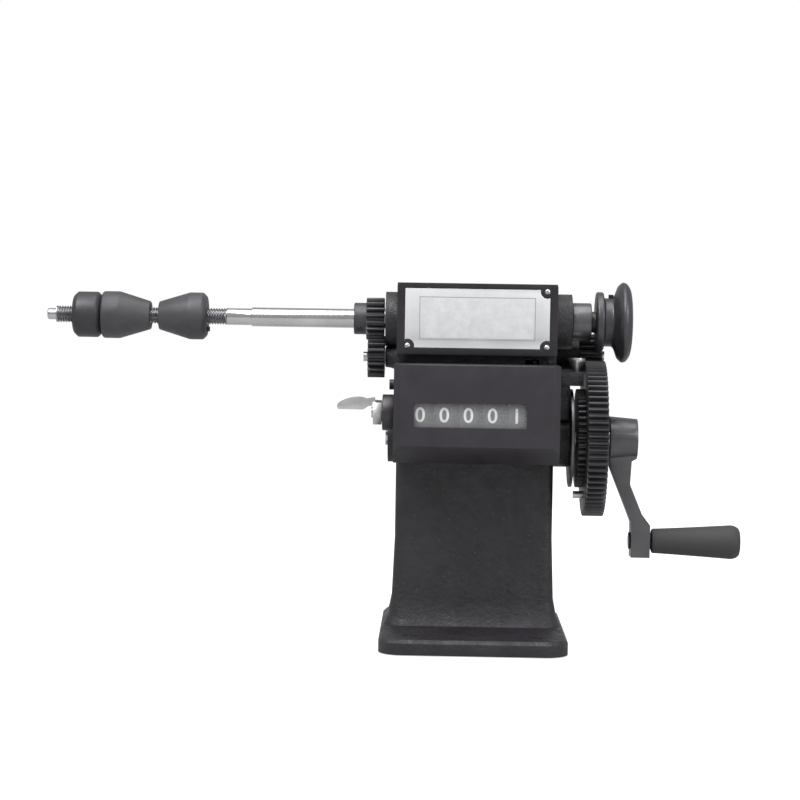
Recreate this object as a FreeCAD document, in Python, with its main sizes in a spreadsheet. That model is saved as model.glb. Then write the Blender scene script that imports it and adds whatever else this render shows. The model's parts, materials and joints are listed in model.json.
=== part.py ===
"""Hand-cranked coil winding machine, as a parametric assembly.

All lengths are millimetres.  The frame has its origin at the centre of the
underside of the cast base, +X to the crank side, +Y to the back, +Z up.
Every shaft runs along X.  The driving sizes are in the sheet SIZES; all other
sizes are formulas of them, carried as Size values and bound as expressions.
"""
import FreeCAD, Part
import math
import os

import Sketcher
from FreeCAD import Placement, Rotation, Vector

DOC = FreeCAD.newDocument("CoilWinder")

# Driving sizes, in millimetres, each set by itself
SIZES = {
    # Shaft places: each shaft stands over the one below it, from the number shaft
    # up to the spindle, and the crank hangs below the spindle in one upright plane
    "number_axis_height": 108.2,
    "number_axis_y": -25.7,
    "transfer_rise": 12.5,
    "input_rise": 12.4,
    "shaft_plane": 6.0,
    "crank_drop": 55.4,
    # Clearances
    "running_gap": 0.05,
    "sliding_gap": 0.08,
    "side_gap": 0.3,
    "tooth_thinning": 0.1,
    "overlap": 0.5,
    "step": 0.1,
    # Gear modules
    "gear_module": 1.0,
    "ring_module": 1.2,
    "input_module": 0.7,
    "idler_module": 0.9,
    # Cast stand
    "base_width": 86.6,
    "base_depth": 110.0,
    "base_edge": 7.0,
    "base_corner": 11.0,
    "base_bevel": 1.6,
    "foot_spread": 5.0,
    "foot_height": 42.0,
    "column_width": 74.4,
    "column_front": -8.0,
    "column_back": 30.0,
    "column_corner": 4.0,
    "column_wall": 5.5,
    "core_corner": 3.0,
    "head_width": 75.0,
    "head_front": -12.0,
    "head_drop": 16.2,
    "head_rise": 17.4,
    "head_wall": 5.5,
    "cheek_wall": 7.1,
    "back_wall": 4.5,
    "back_gap": 1.25383,
    "floor_wall": 5.4,
    "floor_gap": 0.49675,
    "head_round": 4.0,
    "web_thickness": 6.0,
    "shelf_height": 110.1,
    "bolt_spacing_x": 57.0,
    "bolt_spacing_y": 84.0,
    "bolt_hole": 6.5,
    "stud_diameter": 3.0,
    "stud_seat": 3.6,
    "lug_drop": 30.0,
    "lug_depth": 9.35,
    "lug_height": 6.5,
    "lug_inset": 4.2,
    "lug_margin": 3.0,
    # Bosses on the casting
    "spindle_boss": 26.0,
    "spindle_boss_left": 5.7,
    "spindle_boss_right": 7.6,
    "crank_boss_left": 25.4,
    "crank_boss_left_length": 3.8,
    "crank_boss_right": 27.6,
    "crank_boss_right_length": 7.1,
    "layshaft_boss": 18.0,
    "layshaft_boss_length": 12.6,
    "boss_root": 4.0,
    # Spindle
    "spindle_diameter": 9.0,
    "thread_diameter": 8.0,
    "tip_diameter": 5.4,
    "spindle_tip_x": -204.8,
    "tip_length": 4.3,
    "thread_length": 81.7,
    "relief_length": 11.7,
    "relief_step": 0.05,
    "tip_chamfer": 0.6,
    "end_recess": 1.5,
    # Cones and nut
    "cone_diameter": 22.4,
    "cone_small_diameter": 13.3,
    "cone_length": 23.0,
    "cone_land": 8.2,
    "cone_spacing": 3.9,
    "cone_chamfer": 1.9,
    "cone_pin_diameter": 2.4,
    "cone_pin_reach": 1.4,
    "cone_pin_offset": 2.3,
    "cone_place": 26.4,
    "nut_diameter": 21.7,
    "nut_length": 13.4,
    "nut_chamfer": 2.2,
    "nut_chamfer_fall": 1.98,
    # Counter gear pair on the left of the casting
    "counter_gear_gap": 0.7,
    "counter_gear_width": 8.5,
    "counter_hub": 15.0,
    "counter_hub_length": 5.9,
    # Gears inside the head
    "inner_gear_x": 8.0,
    "inner_gear_width": 8.0,
    "layshaft_diameter": 7.0,
    "layshaft_inset": 2.0,
    "shaft_proud": 1.2,
    # Collar and pulley at the right of the spindle
    "collar_diameter": 18.0,
    "collar_length": 9.0,
    "neck_wall": 0.5,
    "neck_length": 2.3,
    "pulley_flange": 28.7,
    "pulley_flange_width": 3.4,
    "pulley_groove": 23.0,
    "pulley_groove_width": 5.2,
    "pulley_rim": 38.4,
    "pulley_rim_width": 8.0,
    "rim_face_fall": 3.2,
    "rim_neck_fall": 3.6,
    "rim_crown": 0.2,
    # Crank gears
    "crank_diameter": 9.7,
    "disc_thickness": 1.4,
    "disc_diameter": 46.8,
    "slow_gear_width": 3.7,
    "disc_gap": 1.8,
    "drive_gear_width": 9.5,
    "drive_rim": 4.6,
    "drive_web": 5.0,
    "web_hub": 19.0,
    "pin_radius_place": 27.0,
    "pin_diameter": 3.4,
    "pin_reach": 4.4,
    # Crank and grip
    "hub_gap": 3.0,
    "hub_length": 13.0,
    "hub_diameter": 21.4,
    "hub_taper": 1.1,
    "shaft_recess": 0.8,
    "crank_throw": 48.6,
    "arm_thickness": 12.0,
    "arm_width": 7.4,
    "arm_drop": 2.6,
    "arm_reach": 10.4,
    "arm_lean": 8.0,
    "arm_foot": 5.6,
    "arm_shoulder": 2.6,
    "arm_bevel": 1.8,
    "sweep_gap": 0.9,
    "block_width": 9.0,
    "block_height": 15.2,
    "arm_bend": 4.0,
    "bolt_head": 8.0,
    "bolt_head_height": 0.9,
    "grip_gap": 1.0,
    "grip_length": 42.0,
    "grip_small": 11.8,
    "grip_large": 16.2,
    "grip_bore": 5.0,
    "grip_nose": 3.2,
    "grip_nose_fall": 2.4,
    "grip_floor": 5.0,
    # Counter
    "case_width": 76.0,
    "case_gap": 3.9,
    "case_drop": 22.5,
    "crease_drop": 14.3,
    "case_heel": 8.5,
    "case_wall": 1.8,
    "case_bevel": 2.8,
    "case_notch": 8.5,
    "hole_gap": 0.2,
    "window_width": 51.4,
    "window_height": 11.0,
    "window_centre_x": -2.9,
    "pane_thickness": 1.0,
    "pane_gap": 0.6,
    "pane_margin": 2.0,
    "window_corner": 0.8,
    "wheels_centre_x": -3.8,
    "digit_pitch": 11.0,
    "rim_gap": 0.2,
    "wheel_space": 0.8,
    "ring_width": 2.8,
    "wheel_shaft": 5.0,
    "transfer_shaft": 2.4,
    "frame_plate": 1.5,
    "frame_margin": 4.0,
    "frame_bevel": 8.0,
    "frame_rise": 18.5,
    "frame_drop": 18.2,
    "strap_height": 9.0,
    "input_shaft": 4.6,
    "stage_width": 1.6,
    "pivot_collar": 1.2,
    "pivot_reach": 2.6,
    "stud_head": 0.9,
    "stud_head_width": 1.3,
    # Reset gear on the left of the case
    "reset_collar": 16.7,
    "reset_collar_length": 5.4,
    "reset_hub": 12.0,
    "reset_hub_length": 4.0,
    "leaf_length": 15.4,
    "leaf_height": 7.0,
    "leaf_thickness": 1.2,
    "leaf_reach": 1.4,
    "leaf_forward": 1.6,
    "leaf_rise": 3.6,
    "leaf_neck_length": 6.0,
    "leaf_neck_start": 4.3,
    "leaf_neck_height": 3.85,
    # Cover, nameplate and small fastenings
    "cover_thickness": 4.0,
    "cover_recess": 0.8,
    "cover_corner": 1.5,
    "plate_gap": 0.2,
    "land_gap": 0.25,
    "plate_width": 67.6,
    "plate_height": 27.7,
    "plate_rise": 0.95,
    "land_radius": 2.9,
    "screw_spacing_x": 65.0,
    "screw_spacing_z": 26.0,
    "screw_diameter": 3.0,
    "screw_head": 7.6,
    "screw_head_height": 5.6,
    "screw_rim": 1.2,
    "screw_slot": 0.8,
    "screw_slot_depth": 0.7,
}

# Tooth counts, which fix the ratios of the train
DRIVE_TEETH = 72
SLOW_TEETH = 45
LAYSHAFT_TEETH = 18
WHEEL_TEETH = 36
SPINDLE_TEETH = 18
COUNTER_TEETH = 18
INPUT_TEETH = 10
IDLER_TEETH = 30
IDLER_PINION_TEETH = 12
DRIVE_WHEEL_TEETH = 16
PINION_TEETH = 8
RING_TEETH = 20
NUMBER_WHEELS = 5
PRESSURE_ANGLE = math.radians(20.0)

# Angles from +Y towards +Z
CONE_PIN_ANGLE = math.radians(255.0)
TOP = math.pi / 2
KEY_TURN = math.radians(10.0)
LEAF_LEAN = 9.0

# Tooth heights above and below the pitch circle, in modules
FINE_TEETH = {"addendum": 0.8, "dedendum": 1.1}
RING_FORM = {"addendum": 0.8, "dedendum": 1.0}
PINION_FORM = {"addendum": 0.7, "dedendum": 1.0}

# Shares of a width at which a turned or cast outline changes slope
ARM_FOOT_SHARE = 0.66
RIM_NECK_SHARE = 0.1
RIM_TOP_SHARE = 0.4
RIM_FACE_SHARE = 0.62


class Size:
    """A length known both as a number and as the sheet formula behind it."""

    def __init__(self, number, text):
        self.number = float(number)
        self.text = text

    def __float__(self):
        return self.number

    def __add__(self, other):
        other = as_size(other)
        return Size(self.number + other.number, f"({self.text} + {other.text})")

    def __sub__(self, other):
        other = as_size(other)
        return Size(self.number - other.number, f"({self.text} - {other.text})")

    def __mul__(self, other):
        other = as_size(other)
        return Size(self.number * other.number, f"({self.text} * {other.text})")

    def __truediv__(self, other):
        other = as_size(other)
        return Size(self.number / other.number, f"({self.text} / {other.text})")

    def __neg__(self):
        return Size(-self.number, f"(-1 * {self.text})")

    def __radd__(self, other):
        return as_size(other) + self

    def __rsub__(self, other):
        return as_size(other) - self

    def __rmul__(self, other):
        return as_size(other) * self


def as_size(value):
    """Wrap a plain number as a Size, and pass a Size through."""
    if isinstance(value, Size):
        return value
    return Size(value, repr(float(value)))


def root(value):
    """Square root of a Size."""
    return Size(math.sqrt(value.number), f"sqrt({value.text})")


class Names:
    """The sheet's cells as attributes, each a Size."""

    def __init__(self, sheet, sizes):
        for name in sizes:
            setattr(self, name, Size(sheet.get(name), f"{sheet.Name}.{name}"))


def make_sheet(sizes):
    """Write the driving sizes into a spreadsheet, one aliased cell each."""
    sheet = DOC.addObject("Spreadsheet::Sheet", "Sizes")
    for row, (name, value) in enumerate(sizes.items(), start=1):
        sheet.set(f"A{row}", name)
        sheet.set(f"B{row}", str(value))
        sheet.setAlias(f"B{row}", name)
    DOC.recompute()
    return sheet


S = Names(make_sheet(SIZES), SIZES)
PIECES = []


# Helpers for bodies, sketches and features

def bind(item, prop, size):
    """Bind one property of an object to a formula of the sheet."""
    item.setExpression(prop, as_size(size).text)


def new_body(label, place=(0.0, 0.0, 0.0)):
    """Start a body for one piece, with its own origin at a bound place."""
    body = DOC.addObject("PartDesign::Body", label)
    body.Label = label
    for axis, value in zip("xyz", place):
        if float(value):
            bind(body, f"Placement.Base.{axis}", value)
    PIECES.append(body)
    return body


def sketch_on(body, role, offset=0.0):
    """Put an empty sketch on an origin plane, moved along the plane's normal."""
    sketch = body.newObject("Sketcher::SketchObject", f"{body.Label}_sketch")
    plane = next(item for item in body.Origin.OriginFeatures if item.Role == role)
    sketch.AttachmentSupport = [(plane, "")]
    sketch.MapMode = "FlatFace"
    if float(offset):
        bind(sketch, "AttachmentOffset.Base.z", offset)
    return sketch


def hold(sketch, kind, *ends_and_value):
    """Add one distance constraint bound to a Size, or one to an axis for zero."""
    geometry, point, value = ends_and_value
    value = as_size(value)
    if value.text == "0.0":
        axis = -2 if kind == "DistanceX" else -1
        sketch.addConstraint(Sketcher.Constraint("PointOnObject", geometry, point, axis))
        return
    constraint = Sketcher.Constraint(kind, -1, 1, geometry, point, value.number)
    index = sketch.addConstraint(constraint)
    sketch.setExpression(f"Constraints[{index}]", value.text)


def draw_polygon(sketch, corners):
    """Draw a closed polygon whose corners are all bound to sizes."""
    points = [Vector(float(x), float(y), 0.0) for x, y in corners]
    first = sketch.GeometryCount
    count = len(points)
    for index in range(count):
        sketch.addGeometry(Part.LineSegment(points[index], points[(index + 1) % count]), False)
    for index in range(count):
        following = (index + 1) % count
        sketch.addConstraint(
            Sketcher.Constraint("Coincident", first + index, 2, first + following, 1))
    for index, (x, y) in enumerate(corners):
        hold(sketch, "DistanceX", first + index, 1, x)
        hold(sketch, "DistanceY", first + index, 1, y)


def draw_circle(sketch, centre, radius):
    """Draw a circle with its centre and radius bound to sizes."""
    middle = Vector(float(centre[0]), float(centre[1]), 0.0)
    index = sketch.addGeometry(Part.Circle(middle, Vector(0, 0, 1), float(radius)), False)
    hold(sketch, "DistanceX", index, 3, centre[0])
    hold(sketch, "DistanceY", index, 3, centre[1])
    number = sketch.addConstraint(Sketcher.Constraint("Radius", index, float(radius)))
    sketch.setExpression(f"Constraints[{number}]", as_size(radius).text)


def draw_rounded(sketch, x_range, y_range, radius):
    """Draw a rectangle with four equal round corners, all bound to sizes."""
    low_x, high_x = (as_size(value) for value in x_range)
    low_y, high_y = (as_size(value) for value in y_range)
    radius = as_size(radius)
    centres = [
        (high_x - radius, high_y - radius), (low_x + radius, high_y - radius),
        (low_x + radius, low_y + radius), (high_x - radius, low_y + radius)]
    arcs = []
    for quarter, (x, y) in enumerate(centres):
        circle = Part.Circle(Vector(float(x), float(y), 0), Vector(0, 0, 1), float(radius))
        start = quarter * math.pi / 2
        arcs.append(sketch.addGeometry(Part.ArcOfCircle(circle, start, start + math.pi / 2), False))
    for quarter in range(4):
        following = (quarter + 1) % 4
        start = sketch.getPoint(arcs[quarter], 2)
        end = sketch.getPoint(arcs[following], 1)
        line = sketch.addGeometry(Part.LineSegment(start, end), False)
        sketch.addConstraint(Sketcher.Constraint("Tangent", arcs[quarter], 2, line, 1))
        sketch.addConstraint(Sketcher.Constraint("Tangent", line, 2, arcs[following], 1))
    for arc, (x, y) in zip(arcs, centres):
        hold(sketch, "DistanceX", arc, 3, x)
        hold(sketch, "DistanceY", arc, 3, y)
    number = sketch.addConstraint(Sketcher.Constraint("Radius", arcs[0], float(radius)))
    sketch.setExpression(f"Constraints[{number}]", radius.text)
    for arc in arcs[1:]:
        sketch.addConstraint(Sketcher.Constraint("Equal", arcs[0], arc))


def extrude(body, sketch, length, cut=False):
    """Pad or pocket a sketch along its plane's normal, by a bound length."""
    kind = "PartDesign::Pocket" if cut else "PartDesign::Pad"
    feature = body.newObject(kind, f"{body.Label}_{'pocket' if cut else 'pad'}")
    feature.Profile = sketch
    feature.Reversed = cut
    bind(feature, "Length", length)
    return feature


def revolve(body, corners):
    """Revolve a closed profile of (x, radius) corners about the body's X axis."""
    sketch = sketch_on(body, "XZ_Plane")
    draw_polygon(sketch, corners)
    feature = body.newObject("PartDesign::Revolution", f"{body.Label}_turning")
    feature.Profile = sketch
    feature.ReferenceAxis = (sketch, ["H_Axis"])
    feature.Angle = 360.0
    return feature


def turned(label, axis, corners):
    """Make one turned piece on a shaft axis given as (y, z)."""
    body = new_body(label, (0.0, axis[0], axis[1]))
    revolve(body, corners)
    return body


def bored_bar(x_start, x_end, radius, bore):
    """Profile of a plain ring or bush between two x places."""
    return [(x_start, bore), (x_end, bore), (x_end, radius), (x_start, radius)]


def round_edges(body, radius, choose):
    """Fillet the edges of the body's tip that a test picks out."""
    DOC.recompute()
    base = body.Tip
    picked = [
        f"Edge{number}" for number, edge in enumerate(base.Shape.Edges, start=1) if choose(edge)]
    feature = body.newObject("PartDesign::Fillet", f"{body.Label}_fillet")
    feature.Base = (base, picked)
    bind(feature, "Radius", radius)
    return feature


def bevel_edges(body, size, choose):
    """Chamfer the edges of the body's tip that a test picks out."""
    DOC.recompute()
    base = body.Tip
    picked = [
        f"Edge{number}" for number, edge in enumerate(base.Shape.Edges, start=1) if choose(edge)]
    feature = body.newObject("PartDesign::Chamfer", f"{body.Label}_chamfer")
    feature.Base = (base, picked)
    bind(feature, "Size", size)
    return feature


def edge_runs(edge, direction):
    """True when an edge is straight and parallel to a direction."""
    if not isinstance(edge.Curve, Part.Line):
        return False
    return abs(abs(edge.Curve.Direction.dot(direction)) - 1.0) < 1e-6


def near(value, size):
    """True when a coordinate lies at a size's place."""
    return abs(value - float(size)) < 1e-4


def add_shape(label, shape, place=(0.0, 0.0, 0.0)):
    """Make one piece from a shape worked out here, then put it in place."""
    piece = DOC.addObject("Part::Feature", label)
    piece.Label = label
    piece.Shape = shape
    base = Vector(*(float(value) for value in place))
    piece.Placement = Placement(base, Rotation()).multiply(shape.Placement)
    PIECES.append(piece)
    return piece


# Gear teeth

def involute(radius, base):
    """Polar angle gained along an involute of a base circle, at a radius."""
    if radius <= base:
        return 0.0
    pressure = math.acos(base / radius)
    return math.tan(pressure) - pressure


def tooth_outline(teeth, module, thinning, addendum=1.0, dedendum=1.25):
    """Closed wire of an involute gear in the YZ plane, a tooth on the +Y axis.

    Each flank is one chord of the involute, so it stays inside the true flank.
    The tooth is thinned at the pitch circle for backlash.
    """
    pitch = module * teeth / 2
    base = pitch * math.cos(PRESSURE_ANGLE)
    half = (math.pi * module / 2 - thinning) / (2 * pitch)
    radii = [pitch - dedendum * module, pitch + addendum * module]
    angles = [half + involute(pitch, base) - involute(radius, base) for radius in radii]
    flank = list(zip(radii, angles))
    points = []
    for tooth in range(teeth):
        middle = 2 * math.pi * tooth / teeth
        for radius, angle in flank:
            points.append(polar(radius, middle - angle))
        for radius, angle in reversed(flank):
            points.append(polar(radius, middle + angle))
    return Part.makePolygon(points + points[:1])


def polar(radius, angle):
    """Point in the YZ plane at a radius and an angle from +Y towards +Z."""
    return Vector(0.0, radius * math.cos(angle), radius * math.sin(angle))


def tooth_ring(teeth, module, x_start, width, phase, **form):
    """Solid toothed disc, turned so that a tooth stands at the phase angle."""
    wire = tooth_outline(teeth, float(module), float(S.tooth_thinning), **form)
    solid = Part.Face(wire).extrude(Vector(float(width), 0, 0))
    solid.rotate(Vector(), Vector(1, 0, 0), math.degrees(phase))
    solid.translate(Vector(float(x_start), 0, 0))
    return solid


def rod(x_start, length, radius):
    """Plain cylinder along X."""
    return Part.makeCylinder(float(radius), float(length), Vector(float(x_start), 0, 0), Vector(1, 0, 0))


def bore_through(solid, radius):
    """Cylinder along X that reaches past both ends of a solid."""
    box = solid.BoundBox
    margin = float(S.overlap)
    return rod(box.XMin - margin, box.XLength + margin * 2, radius)


def meshed_phase(phase, own_teeth, other_teeth, direction):
    """Phase of a gear in mesh with one whose tooth stands at a given phase.

    The direction is the angle from the first gear's axis to the second's.
    """
    pitch_angle = 2 * math.pi / other_teeth
    turned_by = (phase - direction) * own_teeth / other_teeth
    return direction + math.pi - turned_by - pitch_angle / 2


def heading(start, end):
    """Angle from +Y towards +Z of the line between two axes."""
    return math.atan2(float(end[1]) - float(start[1]), float(end[0]) - float(start[0]))


def third_axis(first, second, first_reach, second_reach, side):
    """Axis that lies at given reaches from two others, on one side of them."""
    dy = second[0] - first[0]
    dz = second[1] - first[1]
    span = root(dy * dy + dz * dz)
    along = (first_reach * first_reach - second_reach * second_reach + span * span) / (span * 2)
    off = root(first_reach * first_reach - along * along) * side
    return (first[0] + dy * along / span - dz * off / span,
            first[1] + dz * along / span + dy * off / span)


# Shaft axes, each as (y, z)

transfer_height = S.number_axis_height + S.transfer_rise
input_height = transfer_height + S.input_rise
spindle_height = input_height + S.gear_module * COUNTER_TEETH
crank_axis = (S.shaft_plane, spindle_height - S.crank_drop)
spindle_axis = (S.shaft_plane, spindle_height)
drive_reach = S.gear_module * ((DRIVE_TEETH + LAYSHAFT_TEETH) / 2)
wheel_reach = S.gear_module * ((WHEEL_TEETH + SPINDLE_TEETH) / 2)
layshaft_axis = third_axis(crank_axis, spindle_axis, drive_reach, wheel_reach, -1.0)
input_axis = (S.shaft_plane, input_height)
number_axis = (S.number_axis_y, S.number_axis_height)
ring_reach = S.ring_module * ((PINION_TEETH + RING_TEETH) / 2)
ring_side = root(ring_reach * ring_reach - S.transfer_rise * S.transfer_rise)
transfer_axis = (S.number_axis_y + ring_side, transfer_height)
input_reach = S.input_module * ((INPUT_TEETH + IDLER_TEETH) / 2)
idler_reach = S.idler_module * ((IDLER_PINION_TEETH + DRIVE_WHEEL_TEETH) / 2)
idler_axis = third_axis(input_axis, transfer_axis, input_reach, idler_reach, 1.0)

# Planes across the machine

head_left = -S.head_width / 2
head_right = S.head_width / 2
spindle_radius = S.spindle_diameter / 2
crank_radius = S.crank_diameter / 2
layshaft_radius = S.layshaft_diameter / 2
input_radius = S.input_shaft / 2
wheel_shaft_radius = S.wheel_shaft / 2
transfer_radius = S.transfer_shaft / 2
wheel_radius = ring_reach - transfer_radius - S.rim_gap
digit_rim = S.digit_pitch - S.ring_width - S.wheel_space
case_half = S.case_width / 2
case_inner = case_half - S.case_wall
frame_outer = case_inner - S.side_gap
boss_left = head_left - S.spindle_boss_left
boss_right = head_right + S.spindle_boss_right
layshaft_boss_end = head_right + S.layshaft_boss_length
crank_boss_end = head_right + S.crank_boss_right_length
units_x = S.wheels_centre_x + S.digit_pitch * ((NUMBER_WHEELS - 1) / 2)
rim_end = units_x + digit_rim / 2
ring_end = rim_end + S.ring_width
pinion_stage_x = ring_end + S.side_gap
wheel_stage_x = pinion_stage_x + S.stage_width + S.side_gap
wheel_stage_end = wheel_stage_x + S.stage_width
pocket_end = wheel_stage_end + S.side_gap * 3
idler_tip = S.input_module * (IDLER_TEETH / 2 + 1)
counter_gear_x = boss_left - S.counter_gear_gap - S.counter_gear_width
disc_x = crank_boss_end + S.side_gap
slow_gear_x = disc_x + S.disc_thickness + S.disc_gap
drive_gear_x = slow_gear_x + S.slow_gear_width
hub_x = drive_gear_x + S.drive_gear_width + S.hub_gap

# Heights and depths of the head and of the counter's case

head_bottom = spindle_height - S.head_drop
head_top = spindle_height + S.head_rise
plate_centre_z = spindle_height + S.plate_rise
wheel_tip = S.gear_module * (WHEEL_TEETH / 2 + 1)
chamber_floor = layshaft_axis[1] - wheel_tip - S.floor_gap
chamber_back = layshaft_axis[0] + wheel_tip + S.back_gap
head_back = chamber_back + S.back_wall
case_top = head_bottom - S.case_gap
case_bottom = S.number_axis_height - S.case_drop
case_crease = S.number_axis_height - S.crease_drop
case_front = S.number_axis_y - wheel_radius - S.pane_gap - S.pane_thickness - S.case_wall
frame_top = S.number_axis_height + S.frame_rise
frame_bottom = S.number_axis_height - S.frame_drop


# The stand: one hollow casting of base, column and gear head

def foot_section(body, height, spread):
    """Outline of the column's flared foot at one height."""
    sketch = sketch_on(body, "XY_Plane", height)
    half = S.column_width / 2 + spread
    draw_rounded(sketch, (-half, half), (S.column_front - spread, S.column_back + spread),
                 S.column_corner + spread)
    return sketch


def make_stand():
    """Cast stand with its flared foot, bosses, bores and hollows."""
    body = new_body("stand")
    half_width = S.base_width / 2
    half_depth = S.base_depth / 2
    sketch = sketch_on(body, "XY_Plane")
    draw_rounded(sketch, (-half_width, half_width), (-half_depth, half_depth), S.base_corner)
    extrude(body, sketch, S.base_edge)
    bevel_edges(body, S.base_bevel, lambda edge: near(edge.BoundBox.ZMin, S.base_edge))
    # The foot flares out with a falling slope, as a soft casting fillet does
    shares = [(0.0, 1.0), (0.11, 0.56), (0.32, 0.22), (1.0, 0.0)]
    sections = [
        foot_section(body, S.base_edge - S.overlap + S.foot_height * rise, S.foot_spread * spread)
        for rise, spread in shares]
    foot = body.newObject("PartDesign::AdditiveLoft", "stand_foot")
    foot.Profile = sections[0]
    foot.Sections = sections[1:]
    foot.Ruled = True
    column_start = S.base_edge - S.overlap + S.foot_height
    sketch = sketch_on(body, "XY_Plane", column_start)
    half = S.column_width / 2
    draw_rounded(sketch, (-half, half), (S.column_front, S.column_back), S.column_corner)
    extrude(body, sketch, head_bottom - column_start)
    # Head in side view, with its sloped shelf at the back
    sketch = sketch_on(body, "YZ_Plane", head_left)
    slope = head_back - S.column_back
    draw_polygon(sketch, [
        (S.head_front, head_bottom), (S.head_front, head_top),
        (head_back, head_top), (head_back, S.shelf_height),
        (S.column_back - S.overlap, S.shelf_height - slope - S.overlap),
        (S.column_front + S.overlap, S.shelf_height - slope - S.overlap),
        (S.column_front + S.overlap, head_bottom)])
    extrude(body, sketch, S.head_width)
    # The gear chambers keep iron under them wherever the shelf is
    sketch = sketch_on(body, "YZ_Plane", head_left)
    draw_polygon(sketch, [
        (S.column_front + S.overlap, chamber_floor - S.floor_wall),
        (head_back, chamber_floor - S.floor_wall), (head_back, head_bottom + S.overlap),
        (S.column_front + S.overlap, head_bottom + S.overlap)])
    extrude(body, sketch, S.head_width)
    x_axis = Vector(1, 0, 0)
    round_edges(body, S.head_round, lambda edge: edge_runs(edge, x_axis)
                and near(edge.BoundBox.YMax, head_back))
    bosses = [
        (spindle_axis, S.spindle_boss / 2, boss_left, boss_right),
        (crank_axis, S.crank_boss_left / 2, head_left - S.crank_boss_left_length,
         head_left + S.boss_root),
        (crank_axis, S.crank_boss_right / 2, head_right - S.boss_root, crank_boss_end),
        (layshaft_axis, S.layshaft_boss / 2, head_right - S.boss_root, layshaft_boss_end)]
    for axis, radius, start, end in bosses:
        sketch = sketch_on(body, "YZ_Plane", start)
        draw_circle(sketch, axis, radius)
        extrude(body, sketch, end - start)
    # Lug that carries the tension screw, on the right cheek of the casting
    sketch = sketch_on(body, "XY_Plane", lug_bottom)
    draw_polygon(sketch, [
        (head_right - S.overlap, lug_front), (lug_right, lug_front),
        (lug_right, lug_back), (head_right - S.overlap, lug_back)])
    extrude(body, sketch, S.lug_height)
    hollow_stand(body)
    return body


def hollow_stand(body):
    """Cut the column's core, the two gear chambers, the bores and the holes."""
    core_half = S.column_width / 2 - S.column_wall
    sketch = sketch_on(body, "XY_Plane")
    draw_rounded(sketch, (-core_half, core_half),
                 (S.column_front + S.column_wall, S.column_back - S.column_wall), S.core_corner)
    extrude(body, sketch, S.shelf_height - S.column_wall * 2, cut=True)
    chamber_front = S.column_front + S.column_wall
    chamber_top = head_top - S.head_wall
    lip = head_bottom + S.head_wall
    side = [
        (S.head_front, lip), (S.head_front, chamber_top), (chamber_back, chamber_top),
        (chamber_back, chamber_floor), (chamber_front, chamber_floor), (chamber_front, lip)]
    chamber_half = S.head_width / 2 - S.cheek_wall
    web_half = S.web_thickness / 2
    for start, end in ((-chamber_half, -web_half), (web_half, chamber_half)):
        sketch = sketch_on(body, "YZ_Plane", start)
        draw_polygon(sketch, side)
        extrude(body, sketch, end - start, cut=True)
    # Slot for the counter's idler, through the wall behind the counter
    slot_start = pinion_stage_x - S.side_gap * 7
    reach = idler_tip + S.side_gap * 2
    sketch = sketch_on(body, "YZ_Plane", slot_start)
    draw_polygon(sketch, [
        (S.head_front, idler_axis[1] - reach), (idler_axis[0] + reach, idler_axis[1] - reach),
        (idler_axis[0] + reach, idler_axis[1] + reach), (S.head_front, idler_axis[1] + reach)])
    extrude(body, sketch, pocket_end - slot_start, cut=True)
    bores = [
        (spindle_axis, spindle_bore), (crank_axis, crank_bore),
        (layshaft_axis, layshaft_bore), (input_axis, input_bore)]
    through = S.head_width * 2
    for axis, radius in bores:
        sketch = sketch_on(body, "YZ_Plane", -through / 2)
        draw_circle(sketch, axis, radius)
        extrude(body, sketch, through, cut=True)
    sketch = sketch_on(body, "YZ_Plane", pocket_end - S.overlap)
    draw_circle(sketch, idler_axis, stud_radius)
    extrude(body, sketch, S.stud_seat + S.overlap, cut=True)
    sketch = sketch_on(body, "XY_Plane")
    for x_side in (-1, 1):
        for y_side in (-1, 1):
            centre = (S.bolt_spacing_x / 2 * x_side, S.bolt_spacing_y / 2 * y_side)
            draw_circle(sketch, centre, S.bolt_hole / 2)
    extrude(body, sketch, S.base_edge + S.overlap, cut=True)
    # Tapped hole of the tension screw
    sketch = sketch_on(body, "XY_Plane", lug_bottom)
    draw_circle(sketch, (tension_x, tension_y), S.screw_diameter / 2)
    extrude(body, sketch, S.lug_height + S.overlap, cut=True)


def cover_screw_place(x_side, z_side):
    """Place in front view of one corner screw of the cover."""
    return (S.screw_spacing_x / 2 * x_side, plate_centre_z + S.screw_spacing_z / 2 * z_side)


land_corners = [(-1, -1), (1, -1), (1, 1)]
spindle_bore = spindle_radius + S.running_gap
crank_bore = crank_radius + S.running_gap
layshaft_bore = layshaft_radius + S.running_gap
input_bore = input_radius + S.running_gap
stud_radius = S.stud_diameter / 2
lug_bottom = spindle_height - S.lug_drop
lug_front = S.column_front + S.side_gap
lug_back = lug_front + S.lug_depth
tension_x = drive_gear_x - S.lug_inset
tension_y = (lug_front + lug_back) / 2
lug_right = tension_x + S.lug_margin


def make_cover():
    """Front cover of the gear head, recessed for the nameplate."""
    body = new_body("head_cover")
    sketch = sketch_on(body, "XZ_Plane", -S.head_front)
    draw_rounded(sketch, (head_left, head_right), (head_bottom, head_top), S.cover_corner)
    extrude(body, sketch, S.cover_thickness)
    face = S.cover_thickness - S.head_front
    sketch = sketch_on(body, "XZ_Plane", face - S.cover_recess)
    half_x = S.plate_width / 2 + S.plate_gap
    half_z = S.plate_height / 2 + S.plate_gap
    draw_rounded(sketch, (-half_x, half_x),
                 (plate_centre_z - half_z, plate_centre_z + half_z), S.window_corner)
    extrude(body, sketch, S.cover_recess, cut=True)
    sketch = sketch_on(body, "XZ_Plane", face - S.cover_recess - S.overlap)
    for x_side, z_side in land_corners:
        draw_circle(sketch, cover_screw_place(x_side, z_side), S.land_radius)
    extrude(body, sketch, S.cover_recess + S.overlap)
    return body


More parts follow.
